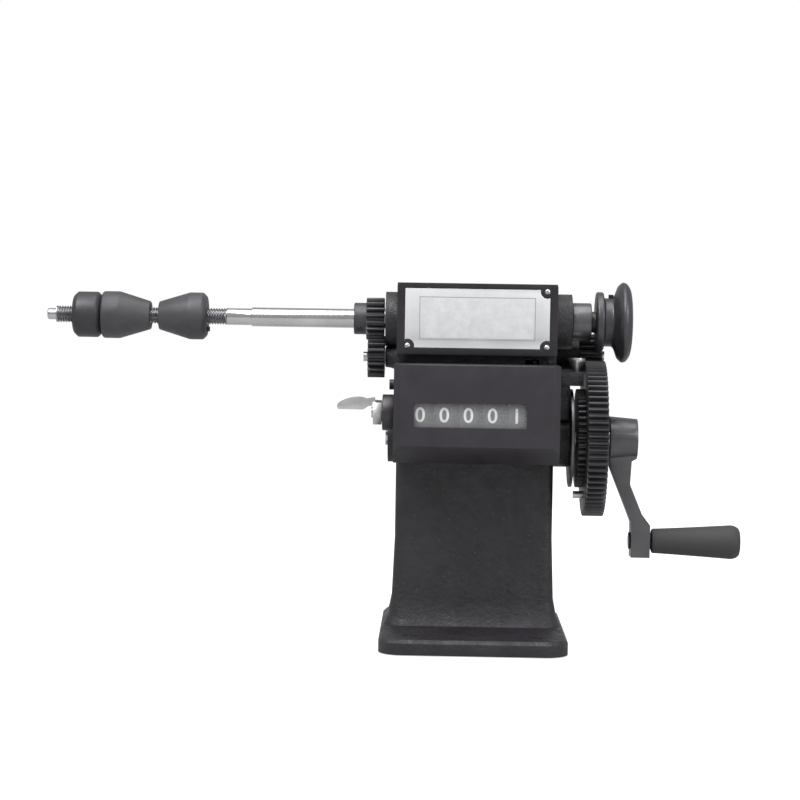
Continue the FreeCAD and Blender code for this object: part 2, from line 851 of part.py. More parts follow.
def make_nameplate():
    """Blank plate with a round notch for each of the three corner screws."""
    body = new_body("nameplate")
    sketch = sketch_on(body, "XZ_Plane", S.cover_thickness - S.head_front - S.cover_recess)
    half_x = S.plate_width / 2
    half_z = S.plate_height / 2
    draw_polygon(sketch, [
        (-half_x, plate_centre_z - half_z), (half_x, plate_centre_z - half_z),
        (half_x, plate_centre_z + half_z), (-half_x, plate_centre_z + half_z)])
    extrude(body, sketch, S.cover_recess - S.plate_gap)
    sketch = sketch_on(body, "XZ_Plane", S.cover_thickness - S.head_front - S.cover_recess)
    for x_side, z_side in land_corners:
        draw_circle(sketch, cover_screw_place(x_side, z_side), S.land_radius + S.land_gap)
    extrude(body, sketch, S.cover_recess, cut=True)
    return body


# Spindle and what turns with it

def make_spindle():
    """Spindle rod with its tip, thread length, relief and full diameter."""
    thread_start = S.spindle_tip_x + S.tip_length
    relief_start = thread_start + S.thread_length
    shoulder = relief_start + S.relief_length
    thread = S.thread_diameter / 2
    tip = S.tip_diameter / 2
    return turned("spindle", spindle_axis, [
        (S.spindle_tip_x, 0.0), (spindle_end, 0.0), (spindle_end, spindle_radius),
        (shoulder, spindle_radius), (shoulder, thread - S.relief_step),
        (relief_start, thread - S.relief_step), (relief_start, thread), (thread_start, thread),
        (thread_start, tip), (S.spindle_tip_x + S.tip_chamfer, tip),
        (S.spindle_tip_x, tip - S.tip_chamfer)])


collar_start = boss_right + S.side_gap
neck_start = collar_start + S.collar_length
pulley_start = neck_start + S.neck_length
groove_start = pulley_start + S.pulley_flange_width
rim_start = groove_start + S.pulley_groove_width
pulley_end = rim_start + S.pulley_rim_width
spindle_end = pulley_end - S.end_recess


def make_pulley():
    """Belt pulley whose outer flange is a large rounded hand rim."""
    flange = S.pulley_flange / 2
    groove = S.pulley_groove / 2
    rim = S.pulley_rim / 2
    width = S.pulley_rim_width
    return turned("pulley", spindle_axis, [
        (neck_start, spindle_radius), (spindle_end, spindle_radius),
        (spindle_end, neck_radius), (pulley_end, neck_radius),
        (pulley_end, rim - S.rim_face_fall), (rim_start + width * RIM_FACE_SHARE, rim - S.rim_crown),
        (rim_start + width * RIM_TOP_SHARE, rim),
        (rim_start + width * RIM_NECK_SHARE, rim - S.rim_neck_fall),
        (rim_start, groove), (groove_start, groove), (groove_start, flange),
        (pulley_start, flange), (pulley_start, neck_radius), (neck_start, neck_radius)])


neck_radius = spindle_radius + S.neck_wall
counter_hub_x = counter_gear_x - S.counter_hub_length


def gear_with_hub(label, axis, teeth, x_start, width, bore, phase, hub=None):
    """Gear with a round bore, and a plain hub at one end if one is given."""
    solid = tooth_ring(teeth, S.gear_module, x_start, width, phase)
    if hub:
        hub_start, hub_length, hub_radius = hub
        solid = solid.fuse(rod(hub_start, hub_length, hub_radius)).removeSplitter()
    solid = solid.cut(bore_through(solid, bore))
    return add_shape(label, solid, (0.0, axis[0], axis[1]))


def make_spindle_gears(phases):
    """Counter gear outside, and the pinion inside the head."""
    gear_with_hub("counter_gear", spindle_axis, COUNTER_TEETH, counter_gear_x,
                  S.counter_gear_width, spindle_radius, phases["counter_gear"],
                  hub=(counter_hub_x, S.counter_hub_length + S.overlap, S.counter_hub / 2))
    gear_with_hub("spindle_pinion", spindle_axis, SPINDLE_TEETH, S.inner_gear_x,
                  S.inner_gear_width, spindle_radius, phases["spindle_pinion"])


def make_collar():
    """Smooth thrust collar between the right boss and the pulley."""
    return turned("spindle_collar", spindle_axis, bored_bar(
        collar_start, neck_start, S.collar_diameter / 2, spindle_radius))


# Cones and lock nut

outer_cone_x = S.spindle_tip_x + S.cone_place
inner_cone_x = outer_cone_x + S.cone_length + S.cone_spacing
nut_x = outer_cone_x - S.side_gap - S.nut_length


def make_cones():
    """Two equal centring cones facing each other, and the nut behind one."""
    bore = S.thread_diameter / 2 + S.sliding_gap
    large = S.cone_diameter / 2
    small = S.cone_small_diameter / 2
    start = outer_cone_x
    end = start + S.cone_length
    turned("outer_cone", spindle_axis, [
        (start, bore), (end, bore), (end, small), (start + S.cone_land, large), (start, large)])
    start = inner_cone_x
    end = start + S.cone_length
    turned("inner_cone", spindle_axis, [
        (start, bore), (end, bore), (end, large - S.cone_chamfer), (end - S.cone_chamfer, large),
        (end - S.cone_land, large), (start, small)])
    nut = S.nut_diameter / 2
    face = nut - S.nut_chamfer_fall
    nut_end = nut_x + S.nut_length
    turned("lock_nut", spindle_axis, [
        (nut_x, bore), (nut_end, bore), (nut_end, face), (nut_end - S.nut_chamfer, nut),
        (nut_x + S.nut_chamfer, nut), (nut_x, face)])


def make_cone_pin():
    """Drive pin that stands out of the inner cone's back face."""
    reach = S.thread_diameter / 2 + S.cone_pin_offset
    pin = rod(inner_cone_x + S.cone_length, S.cone_pin_reach, S.cone_pin_diameter / 2)
    pin.translate(polar(float(reach), CONE_PIN_ANGLE))
    add_shape("cone_pin", pin, (0.0, spindle_axis[0], spindle_axis[1]))


# Crank shaft, its gears, arm and grip

hub_end = hub_x + S.hub_length
shaft_left = head_left - S.crank_boss_left_length - S.shaft_proud
shaft_right = hub_end - S.shaft_recess


def make_crank_gears(phases):
    """Large drive gear with a thin web, the slow gear and the steel disc."""
    x_start = drive_gear_x
    width = S.drive_gear_width
    solid = tooth_ring(DRIVE_TEETH, S.gear_module, x_start, width, phases["drive_gear"])
    rim_inner = S.gear_module * (DRIVE_TEETH / 2 - 1.25) - S.drive_rim
    recess = S.drive_gear_width - S.drive_web
    ring = rod(x_start + S.drive_web, recess, rim_inner).cut(
        rod(x_start + S.drive_web, recess, S.web_hub / 2))
    solid = solid.cut(ring).cut(bore_through(solid, crank_radius))
    pin_hole = bore_through(solid, S.pin_diameter / 2)
    pin_hole.translate(polar(float(S.pin_radius_place), -TOP))
    solid = solid.cut(pin_hole)
    add_shape("drive_gear", solid, (0.0, crank_axis[0], crank_axis[1]))
    pin = rod(x_start - S.pin_reach, S.pin_reach + S.drive_web, S.pin_diameter / 2)
    pin.translate(polar(float(S.pin_radius_place), -TOP))
    add_shape("gear_pin", pin, (0.0, crank_axis[0], crank_axis[1]))
    slow = tooth_ring(SLOW_TEETH, S.gear_module, slow_gear_x, S.slow_gear_width, 0.0)
    slow = slow.cut(bore_through(slow, crank_radius))
    add_shape("slow_gear", slow, (0.0, crank_axis[0], crank_axis[1]))
    turned("gear_disc", crank_axis, bored_bar(
        disc_x, disc_x + S.disc_thickness, S.disc_diameter / 2, crank_radius))


def make_crank_shaft():
    """Crank shaft from its left end to the face of the arm's hub."""
    return turned("crank_shaft", crank_axis, [
        (shaft_left, 0.0), (shaft_right, 0.0), (shaft_right, crank_radius),
        (shaft_left, crank_radius)])


grip_height = crank_axis[1] - S.crank_throw
block_x = pulley_end + S.sweep_gap + S.bolt_head_height
block_end = block_x + S.block_width


def make_arm():
    """Cast crank arm: tapered hub, arm that steps outwards, and end block."""
    body = new_body("crank_arm", (0.0, crank_axis[0], crank_axis[1]))
    hub = S.hub_diameter / 2
    revolve(body, [
        (hub_x, crank_radius), (hub_end, crank_radius), (hub_end, hub - S.hub_taper),
        (hub_x, hub)])
    low = -S.crank_throw - S.block_height / 2
    block_top = -S.crank_throw + S.block_height / 2
    half = S.arm_thickness / 2
    sketch = sketch_on(body, "XZ_Plane", -half)
    inner = hub_x + S.step
    bend_top = -hub - S.arm_drop
    inner_foot = block_top + S.overlap * 2
    outer_top = hub_x + S.arm_reach
    outer_bend = (outer_top - S.step * 6, bend_top - S.arm_lean)
    outer_foot = (block_x + S.arm_width * ARM_FOOT_SHARE, block_top + S.arm_foot)
    root_end = hub_end - S.step * 4
    root_top = -crank_radius - S.step * 15
    draw_polygon(sketch, [
        (inner, root_top), (inner, bend_top), (block_x, inner_foot),
        (block_x, low), (block_end, low), (block_end, block_top + S.step * 2),
        (block_end - S.arm_bevel, block_top + S.arm_shoulder), outer_foot, outer_bend,
        (outer_top, -hub + S.step * 4), (root_end, -hub + S.hub_taper + S.step * 6),
        (root_end, root_top)])
    extrude(body, sketch, S.arm_thickness)
    y_axis = Vector(0, 1, 0)
    bends = [(inner, bend_top), (block_x, inner_foot), outer_bend, outer_foot]

    def at_bend(edge):
        middle = edge.CenterOfMass
        return edge_runs(edge, y_axis) and any(
            near(middle.x, x) and near(middle.z, z) for x, z in bends)
    round_edges(body, S.arm_bend, at_bend)
    sketch = sketch_on(body, "YZ_Plane", block_x - S.overlap)
    draw_circle(sketch, (0.0, -S.crank_throw), bolt_radius)
    extrude(body, sketch, S.block_width + S.overlap * 2, cut=True)
    return body


bolt_radius = S.grip_bore / 2
grip_start = block_end + S.grip_gap
grip_end = grip_start + S.grip_length
grip_floor = grip_end - S.grip_floor


def make_grip():
    """Swelling hand grip, free to turn on its bolt."""
    bore = bolt_radius + S.running_gap
    small = S.grip_small / 2
    large = S.grip_large / 2
    swell = grip_end - S.grip_nose
    return turned("grip", (crank_axis[0], grip_height), [
        (grip_start, bore), (grip_floor, bore), (grip_floor, 0.0), (grip_end, 0.0),
        (grip_end, large - S.grip_nose_fall), (swell, large), (grip_start, small)])


def make_grip_bolt():
    """Bolt of the grip, pressed through the block and headed behind it."""
    head = S.bolt_head / 2
    left = block_x - S.bolt_head_height
    right = grip_floor - S.side_gap * 2
    shoulder = grip_start - S.side_gap
    return turned("grip_bolt", (crank_axis[0], grip_height), [
        (left, 0.0), (right, 0.0), (right, bolt_radius), (shoulder, bolt_radius),
        (shoulder, head), (block_end, head), (block_end, bolt_radius),
        (block_x, bolt_radius), (block_x, head), (left, head)])


# Layshaft behind the spindle

def make_layshaft(phases):
    """Layshaft with its wheel inside the head and its pinion outside."""
    left = head_left + S.layshaft_inset
    right = drive_gear_x + S.drive_gear_width + S.shaft_proud
    turned("layshaft", layshaft_axis, [
        (left, 0.0), (right, 0.0), (right, layshaft_radius), (left, layshaft_radius)])
    gear_with_hub("layshaft_wheel", layshaft_axis, WHEEL_TEETH, S.inner_gear_x,
                  S.inner_gear_width, layshaft_radius, phases["layshaft_wheel"])
    gear_with_hub("layshaft_pinion", layshaft_axis, LAYSHAFT_TEETH, layshaft_boss_end + S.side_gap,
                  drive_gear_x + S.drive_gear_width - layshaft_boss_end - S.side_gap,
                  layshaft_radius, phases["layshaft_pinion"])


# Counter case, frame and wheels

def make_case():
    """Counter case: a shell open at the back, with beveled cheeks and a window."""
    body = new_body("counter_case")

    def side_view(inset, front, back):
        # The sloping front keeps nearly the wall's thickness when it is set in
        heel = case_front + S.case_heel + inset * 0.5
        return [
            (back, case_top - inset), (front, case_top - inset),
            (front, case_crease + inset * 0.4), (heel, case_bottom + inset),
            (back, case_bottom + inset)]
    sketch = sketch_on(body, "YZ_Plane", -case_half)
    draw_polygon(sketch, side_view(as_size(0.0), case_front, S.column_front))
    extrude(body, sketch, S.case_width)
    z_axis = Vector(0, 0, 1)
    bevel_edges(body, S.case_bevel, lambda edge: edge_runs(edge, z_axis)
                and near(edge.BoundBox.YMin, case_front))
    sketch = sketch_on(body, "YZ_Plane", -case_inner)
    draw_polygon(sketch, side_view(
        S.case_wall, case_front + S.case_wall, S.column_front + S.overlap))
    extrude(body, sketch, case_inner * 2, cut=True)
    # Back part of the roof is open, under the lip of the head
    sketch = sketch_on(body, "XY_Plane", case_top - S.case_wall - S.overlap)
    draw_polygon(sketch, [
        (-case_inner, S.column_front - S.case_notch), (case_inner, S.column_front - S.case_notch),
        (case_inner, S.column_front + S.overlap), (-case_inner, S.column_front + S.overlap)])
    extrude(body, sketch, S.case_wall + S.overlap * 2, cut=True)
    sketch = sketch_on(body, "XZ_Plane", -(case_front + S.case_wall + S.overlap))
    half = S.window_width / 2
    draw_rounded(sketch, (S.window_centre_x - half, S.window_centre_x + half),
                 (S.number_axis_height - S.window_height / 2,
                  S.number_axis_height + S.window_height / 2), S.window_corner)
    extrude(body, sketch, S.case_wall + S.overlap * 2, cut=True)
    sketch = sketch_on(body, "YZ_Plane", -case_half - S.overlap)
    draw_circle(sketch, number_axis, wheel_shaft_radius + S.hole_gap)
    draw_circle(sketch, transfer_axis, transfer_radius + S.pivot_collar + S.hole_gap)
    extrude(body, sketch, S.case_wall + S.overlap * 2, cut=True)
    return body


def make_window():
    """Clear pane behind the window opening."""
    body = new_body("counter_window")
    back = case_front + S.case_wall + S.pane_thickness
    sketch = sketch_on(body, "XZ_Plane", -back)
    half = S.window_width / 2 + S.pane_margin
    draw_rounded(sketch, (S.window_centre_x - half, S.window_centre_x + half),
                 (S.number_axis_height - S.window_height / 2 - S.pane_margin,
                  S.number_axis_height + S.window_height / 2 + S.pane_margin), S.window_corner)
    extrude(body, sketch, S.pane_thickness)
    return body


def make_frame():
    """Bent frame of the counter: two cheeks joined by a strap at the back."""
    body = new_body("counter_frame")
    sketch = sketch_on(body, "XZ_Plane", -S.column_front)
    draw_polygon(sketch, [
        (-frame_outer, frame_bottom), (frame_outer, frame_bottom),
        (frame_outer, frame_bottom + S.strap_height), (-frame_outer, frame_bottom + S.strap_height)])
    extrude(body, sketch, S.frame_plate)
    cheek_front = S.number_axis_y - wheel_shaft_radius - S.frame_margin
    cheek_back = S.column_front - S.side_gap
    for start in (-frame_outer, frame_outer - S.frame_plate):
        sketch = sketch_on(body, "YZ_Plane", start)
        draw_polygon(sketch, [
            (cheek_front, frame_bottom), (cheek_back, frame_bottom),
            (cheek_back, frame_top), (cheek_front + S.frame_bevel, frame_top),
            (cheek_front, frame_top - S.frame_bevel)])
        extrude(body, sketch, S.frame_plate)
        sketch = sketch_on(body, "YZ_Plane", start - S.overlap)
        draw_circle(sketch, number_axis, wheel_shaft_radius + S.running_gap)
        draw_circle(sketch, transfer_axis, transfer_radius)
        extrude(body, sketch, S.frame_plate + S.overlap * 2, cut=True)
    return body


def make_counter_shafts(phases):
    """Fixed transfer shaft and idler stud, and the turning input shaft."""
    collar = transfer_radius + S.pivot_collar
    left = -case_half - S.pivot_reach
    turned("transfer_shaft", transfer_axis, [
        (left, 0.0), (frame_outer, 0.0), (frame_outer, transfer_radius),
        (-frame_outer, transfer_radius), (-frame_outer, collar), (left, collar)])
    head = stud_radius + S.stud_head
    head_end = pinion_stage_x - S.side_gap
    left = head_end - S.stud_head_width
    right = pocket_end + S.stud_seat
    turned("idler_stud", idler_axis, [
        (left, 0.0), (right, 0.0), (right, stud_radius), (head_end, stud_radius),
        (head_end, head), (left, head)])
    left = counter_gear_x - S.shaft_proud
    right = head_right - S.side_gap
    turned("input_shaft", input_axis, [
        (left, 0.0), (right, 0.0), (right, input_radius), (left, input_radius)])
    gear_start = counter_gear_x + S.side_gap * 3
    gear_with_hub("input_gear", input_axis, COUNTER_TEETH, gear_start,
                  boss_left - S.side_gap - gear_start, input_radius, phases["input_gear"])
    pinion = tooth_ring(INPUT_TEETH, S.input_module, wheel_stage_x, S.stage_width,
                        phases["input_pinion"], **FINE_TEETH)
    pinion = pinion.cut(bore_through(pinion, input_radius))
    add_shape("input_pinion", pinion, (0.0, input_axis[0], input_axis[1]))


def make_idlers(phases):
    """Idler cluster on its stud, and the drive cluster on the transfer shaft."""
    large = tooth_ring(IDLER_TEETH, S.input_module, wheel_stage_x, S.stage_width,
                       phases["idler_wheel"], **FINE_TEETH)
    small = tooth_ring(IDLER_PINION_TEETH, S.idler_module, pinion_stage_x,
                       wheel_stage_x - pinion_stage_x, phases["idler_pinion"], **FINE_TEETH)
    cluster = large.fuse(small).removeSplitter()
    cluster = cluster.cut(bore_through(cluster, stud_radius + S.running_gap))
    add_shape("idler_cluster", cluster, (0.0, idler_axis[0], idler_axis[1]))
    wheel = tooth_ring(DRIVE_WHEEL_TEETH, S.idler_module, pinion_stage_x, S.stage_width,
                       phases["drive_wheel"], **FINE_TEETH)
    pinion = tooth_ring(PINION_TEETH, S.ring_module, rim_end + S.side_gap,
                        pinion_stage_x - rim_end - S.side_gap, phases["pinion"],
                        **PINION_FORM)
    cluster = wheel.fuse(pinion).removeSplitter()
    cluster = cluster.cut(bore_through(cluster, transfer_radius + S.running_gap))
    add_shape("drive_cluster", cluster, (0.0, transfer_axis[0], transfer_axis[1]))


def make_number_wheels(phases):
    """Five number wheels, the units one at the right, and their transfer pinions."""
    for place in range(NUMBER_WHEELS):
        centre = units_x - S.digit_pitch * place
        start = centre - digit_rim / 2
        rim = rod(start, digit_rim, wheel_radius)
        ring = tooth_ring(RING_TEETH, S.ring_module, start + digit_rim, S.ring_width,
                          phases["ring"], **RING_FORM)
        wheel = rim.fuse(ring).removeSplitter()
        wheel = wheel.cut(bore_through(wheel, wheel_shaft_radius + S.running_gap))
        add_shape(f"number_wheel_{place + 1}", wheel, (0.0, number_axis[0], number_axis[1]))
    for place in range(1, NUMBER_WHEELS):
        start = rim_end - S.digit_pitch * place + S.side_gap
        pinion = tooth_ring(PINION_TEETH, S.ring_module, start, S.ring_width - S.side_gap,
                            phases["pinion"], **PINION_FORM)
        pinion = pinion.cut(bore_through(pinion, transfer_radius + S.running_gap))
        add_shape(f"transfer_pinion_{place}", pinion, (0.0, transfer_axis[0], transfer_axis[1]))


# Reset gear at the left of the case

reset_face = -case_half - S.reset_collar_length
reset_hub_x = reset_face - S.side_gap - S.reset_hub_length


def make_reset():
    """Reset bearing, the shaft through the number wheels, and the leaf key."""
    turned("reset_bearing", number_axis, [
        (reset_face, wheel_shaft_radius + S.running_gap),
        (-case_half, wheel_shaft_radius + S.running_gap),
        (-case_half, S.reset_collar / 2), (reset_face, S.reset_collar / 2)])
    left = reset_hub_x - S.step * 8
    right = frame_outer + S.step * 2
    turned("number_shaft", number_axis, [
        (left, 0.0), (right, 0.0), (right, wheel_shaft_radius), (left, wheel_shaft_radius)])
    hub = rod(reset_hub_x, S.reset_hub_length, S.reset_hub / 2)
    nut = Part.Face(Part.makePolygon([
        polar(float(S.reset_hub) / 2, KEY_TURN + math.pi / 3 * corner) for corner in range(7)]))
    nut = nut.extrude(Vector(float(S.reset_hub_length), 0, 0))
    nut.translate(Vector(float(reset_hub_x), 0, 0))
    hub = hub.common(nut)
    length = float(S.leaf_length)
    height = float(S.leaf_height)
    thick = float(S.leaf_thickness)
    # The leaf is an oval of sheet steel that leans out from the hub's face
    oval = Part.Ellipse(Vector(), length / 2, height / 2)
    leaf = Part.Face(Part.Wire(oval.toShape())).extrude(Vector(0, 0, thick))
    neck_height = float(S.leaf_neck_height)
    neck = Part.makeBox(float(S.leaf_neck_length), neck_height, thick,
                        Vector(float(S.leaf_neck_start), -neck_height / 2, 0))
    leaf = leaf.fuse(neck).removeSplitter()
    leaf.rotate(Vector(), Vector(1, 0, 0), 90.0)
    leaf.translate(Vector(0, thick / 2, 0))
    leaf.rotate(Vector(), Vector(0, 1, 0), -LEAF_LEAN)
    leaf.translate(Vector(float(reset_hub_x - S.leaf_reach) - length / 2,
                          -float(S.leaf_forward), float(S.leaf_rise)))
    key = hub.fuse(leaf).removeSplitter()
    key = key.cut(bore_through(key, wheel_shaft_radius))
    add_shape("reset_key", key, (0.0, number_axis[0], number_axis[1]))


def make_tension_screw():
    """Tension screw in the lug, with its deep tapered head."""
    stem = S.screw_diameter / 2
    body = new_body("tension_screw", (tension_x, tension_y, lug_bottom))
    sketch = sketch_on(body, "XZ_Plane")
    head = S.screw_head / 2
    seat = S.lug_height + S.side_gap * 3
    top = seat + S.screw_head_height
    draw_polygon(sketch, [
        (0.0, 0.0), (stem, 0.0), (stem, seat), (head, top - S.screw_rim), (head, top), (0.0, top)])
    feature = body.newObject("PartDesign::Revolution", "tension_screw_turning")
    feature.Profile = sketch
    feature.ReferenceAxis = (sketch, ["V_Axis"])
    feature.Angle = 360.0
    sketch = sketch_on(body, "XY_Plane", top - S.screw_slot_depth)
    half = S.screw_slot / 2
    draw_polygon(sketch, [(-S.screw_head, -half), (S.screw_head, -half), (S.screw_head, half),
                          (-S.screw_head, half)])
    extrude(body, sketch, S.screw_slot_depth + S.overlap, cut=True)


def make_phases():
    """Angle of one tooth of each gear, so that the whole train is in mesh."""
    phases = {"drive_gear": TOP}
    phases["layshaft_pinion"] = meshed_phase(
        phases["drive_gear"], DRIVE_TEETH, LAYSHAFT_TEETH, heading(crank_axis, layshaft_axis))
    phases["layshaft_wheel"] = 0.0
    phases["spindle_pinion"] = meshed_phase(
        phases["layshaft_wheel"], WHEEL_TEETH, SPINDLE_TEETH, heading(layshaft_axis, spindle_axis))
    phases["counter_gear"] = TOP
    phases["input_gear"] = meshed_phase(
        phases["counter_gear"], COUNTER_TEETH, COUNTER_TEETH, heading(spindle_axis, input_axis))
    phases["input_pinion"] = 0.0
    phases["idler_wheel"] = meshed_phase(
        phases["input_pinion"], INPUT_TEETH, IDLER_TEETH, heading(input_axis, idler_axis))
    phases["idler_pinion"] = 0.0
    phases["drive_wheel"] = meshed_phase(
        phases["idler_pinion"], IDLER_PINION_TEETH, DRIVE_WHEEL_TEETH,
        heading(idler_axis, transfer_axis))
    phases["ring"] = 0.0
    phases["pinion"] = meshed_phase(
        phases["ring"], RING_TEETH, PINION_TEETH, heading(number_axis, transfer_axis))
    return phases


def build():
    """Make every piece of the machine."""
    phases = make_phases()
    make_stand()
    make_cover()
    make_nameplate()
    make_spindle()
    make_spindle_gears(phases)
    make_collar()
    make_pulley()
    make_cones()
    make_cone_pin()
    make_crank_shaft()
    make_crank_gears(phases)
    make_arm()
    make_grip_bolt()
    make_grip()
    make_layshaft(phases)
    make_case()
    make_window()
    make_frame()
    make_counter_shafts(phases)
    make_idlers(phases)
    make_number_wheels(phases)
    make_reset()
    make_tension_screw()


def check_and_export():
    """Stop on any failed object, then write one STEP file for each piece."""
    DOC.recompute()
    for item in DOC.Objects:
        if "Invalid" in item.State or "Error" in item.State:
            raise RuntimeError(f"{item.Label} failed: {item.State}")
        if item.TypeId == "PartDesign::Pocket":
            if item.Shape.Volume >= item.BaseFeature.Shape.Volume - 1e-6:
                raise RuntimeError(f"{item.Name} cuts nothing")
    os.makedirs("parts", exist_ok=True)
    for piece in PIECES:
        shape = piece.Shape
        if shape.isNull() or not shape.isValid():
            raise RuntimeError(f"{piece.Label} has no valid shape")
        shape.exportStep(os.path.join("parts", f"{piece.Label}.step"))


build()
check_and_export()
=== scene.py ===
"""Looks of a hand-cranked coil winding machine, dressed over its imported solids.

Shapes are worked out in millimetres and become metres with their meshes, and
the studio is in metres.  The frame is the solids' own: +X runs along the
spindle to the crank, +Y to the back and +Z up.  Places come from the boxes of
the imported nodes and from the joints' axes, so nothing is fitted by hand.
"""
import json
import logging
import math
from dataclasses import dataclass, replace
from enum import Enum
from typing import Callable, Sequence

import bmesh
import bpy
import numpy as np
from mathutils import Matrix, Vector


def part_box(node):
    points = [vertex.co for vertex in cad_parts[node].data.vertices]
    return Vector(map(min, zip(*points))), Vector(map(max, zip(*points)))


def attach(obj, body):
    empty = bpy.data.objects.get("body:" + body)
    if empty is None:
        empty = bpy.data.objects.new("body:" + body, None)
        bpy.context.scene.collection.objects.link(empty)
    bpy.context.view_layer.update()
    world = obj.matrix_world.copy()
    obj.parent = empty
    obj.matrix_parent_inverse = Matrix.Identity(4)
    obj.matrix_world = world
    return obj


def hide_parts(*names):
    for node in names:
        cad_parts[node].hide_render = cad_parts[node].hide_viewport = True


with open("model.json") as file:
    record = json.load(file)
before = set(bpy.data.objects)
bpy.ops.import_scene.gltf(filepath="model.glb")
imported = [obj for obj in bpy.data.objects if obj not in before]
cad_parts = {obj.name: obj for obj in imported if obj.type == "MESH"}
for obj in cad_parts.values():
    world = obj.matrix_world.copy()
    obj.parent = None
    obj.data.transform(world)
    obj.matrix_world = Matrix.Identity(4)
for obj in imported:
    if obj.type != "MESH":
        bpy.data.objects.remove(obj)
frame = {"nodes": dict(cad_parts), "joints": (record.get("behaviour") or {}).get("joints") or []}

LOG = logging.getLogger("coil_winder")
MM = 0.001
PRESSURE_ANGLE = math.radians(20.0)
SHARP_BEND = math.radians(28.0)

Point = tuple[float, float]
Colour = tuple[float, float, float]
Surface = tuple[np.ndarray, np.ndarray | list[list[int]]]
NodeTable = dict[str, tuple[str, dict[str, object], dict[str | int, object]]]


class Body(Enum):
    """Moving groups of the machine, by the names that the joints use."""

    HOUSING = "housing"
    SPINDLE = "spindle_group"
    OUTER_CONE = "outer_cone_group"
    INNER_CONE = "inner_cone_group"
    LOCK_NUT = "lock_nut_group"
    CRANK = "crank_group"
    GRIP = "grip_group"
    LAYSHAFT = "layshaft_group"
    COUNTER_INPUT = "input_group"
    RESET = "reset_group"


class Slot(Enum):
    """Material slots of the record."""

    CAST_PAINT = "cast_paint"
    COVER_PAINT = "cover_paint"
    PLATE_METAL = "plate_metal"
    CASE_PAINT = "case_plastic"
    CLEAR_PANE = "clear_pane"
    DARK_STEEL = "dark_steel"
    BRIGHT_STEEL = "bright_steel"
    WHEEL_PLASTIC = "wheel_plastic"
    GRIP_PLASTIC = "grip_plastic"


@dataclass(frozen=True)
class Axis:
    """A shaft axis along X, by its place in the YZ plane.

    Attributes:
        y: Place along Y.
        z: Place along Z.
    """

    y: float
    z: float

    @staticmethod
    def of(joint_name: str) -> "Axis":
        """Return the axis of a named joint of the frame."""
        joint = next(item for item in frame["joints"] if item["name"] == joint_name)
        return Axis(joint["pos_m"][1] / MM, joint["pos_m"][2] / MM)

    def heading(self, other: "Axis") -> float:
        """Return the angle from +Y towards +Z of the line to another axis."""
        return math.atan2(other.z - self.z, other.y - self.y)


# Surfaces worked out as whole arrays

def rounded(corners: Sequence[Point], radius: float, steps: int = 4,
            closed: bool = True) -> np.ndarray:
    """Round every corner of a profile.

    Each corner C becomes the curve (1-t)^2 A + 2 t (1-t) C + t^2 B, where A and
    B lie on its two legs at the rounding distance, or at most 0.45 of a leg.

    Args:
        corners: Corners of the profile as (x, radius) pairs.
        radius: Rounding distance.
        steps: Points on each rounded corner.
        closed: Whether the last corner joins the first one.

    Returns:
        Array of profile points, one row each.
    """
    points = np.asarray(corners, float)
    back = np.roll(points, 1, axis=0) - points
    ahead = np.roll(points, -1, axis=0) - points
    if not closed:
        back[0] = 0.0
        ahead[-1] = 0.0
    back_length = np.linalg.norm(back, axis=1, keepdims=True)
    ahead_length = np.linalg.norm(ahead, axis=1, keepdims=True)
    reach = np.minimum(radius, 0.45 * np.minimum(back_length, ahead_length))
    start = points + back / np.maximum(back_length, 1e-9) * reach
    end = points + ahead / np.maximum(ahead_length, 1e-9) * reach
    t = np.linspace(0.0, 1.0, steps)[None, :, None]
    curve = ((1 - t) ** 2 * start[:, None] + 2 * t * (1 - t) * points[:, None]
             + t ** 2 * end[:, None])
    return curve.reshape(-1, 2)


def grid_faces(rows: int, columns: int, wrap_rows: bool) -> np.ndarray:
    """Return the quads of a grid whose columns wrap round, and rows if asked."""
    row = np.arange(rows if wrap_rows else rows - 1)[:, None]
    column = np.arange(columns)[None, :]
    next_row = (row + 1) % rows
    next_column = (column + 1) % columns
    quads = np.stack(np.broadcast_arrays(
        row * columns + column, row * columns + next_column,
        next_row * columns + next_column, next_row * columns + column), axis=-1)
    return quads.reshape(-1, 4)


def around(axis: Axis, x: np.ndarray, r: np.ndarray | float, angle: np.ndarray) -> np.ndarray:
    """Return the points (x, y + r cos a, z + r sin a) about a shaft axis, one row each."""
    x, r, angle = np.broadcast_arrays(x, r, angle)
    return np.stack([x, axis.y + r * np.cos(angle), axis.z + r * np.sin(angle)],
                    axis=-1).reshape(-1, 3)


def lathe(profile: np.ndarray, axis: Axis, segments: int = 96, closed: bool = True) -> Surface:
    """Turn a profile about a shaft axis, in evenly spaced angles.

    Args:
        profile: Rows of (x, radius).
        axis: Axis that the profile turns about.
        segments: Number of angles.
        closed: Whether the profile is a loop, as for a ring, or open between
            two points on the axis.

    Returns:
        Vertices and quads.
    """
    angle = np.linspace(0.0, 2 * math.pi, segments, endpoint=False)
    vertices = around(axis, profile[:, :1], profile[:, 1:], angle)
    return vertices, grid_faces(len(profile), segments, closed)


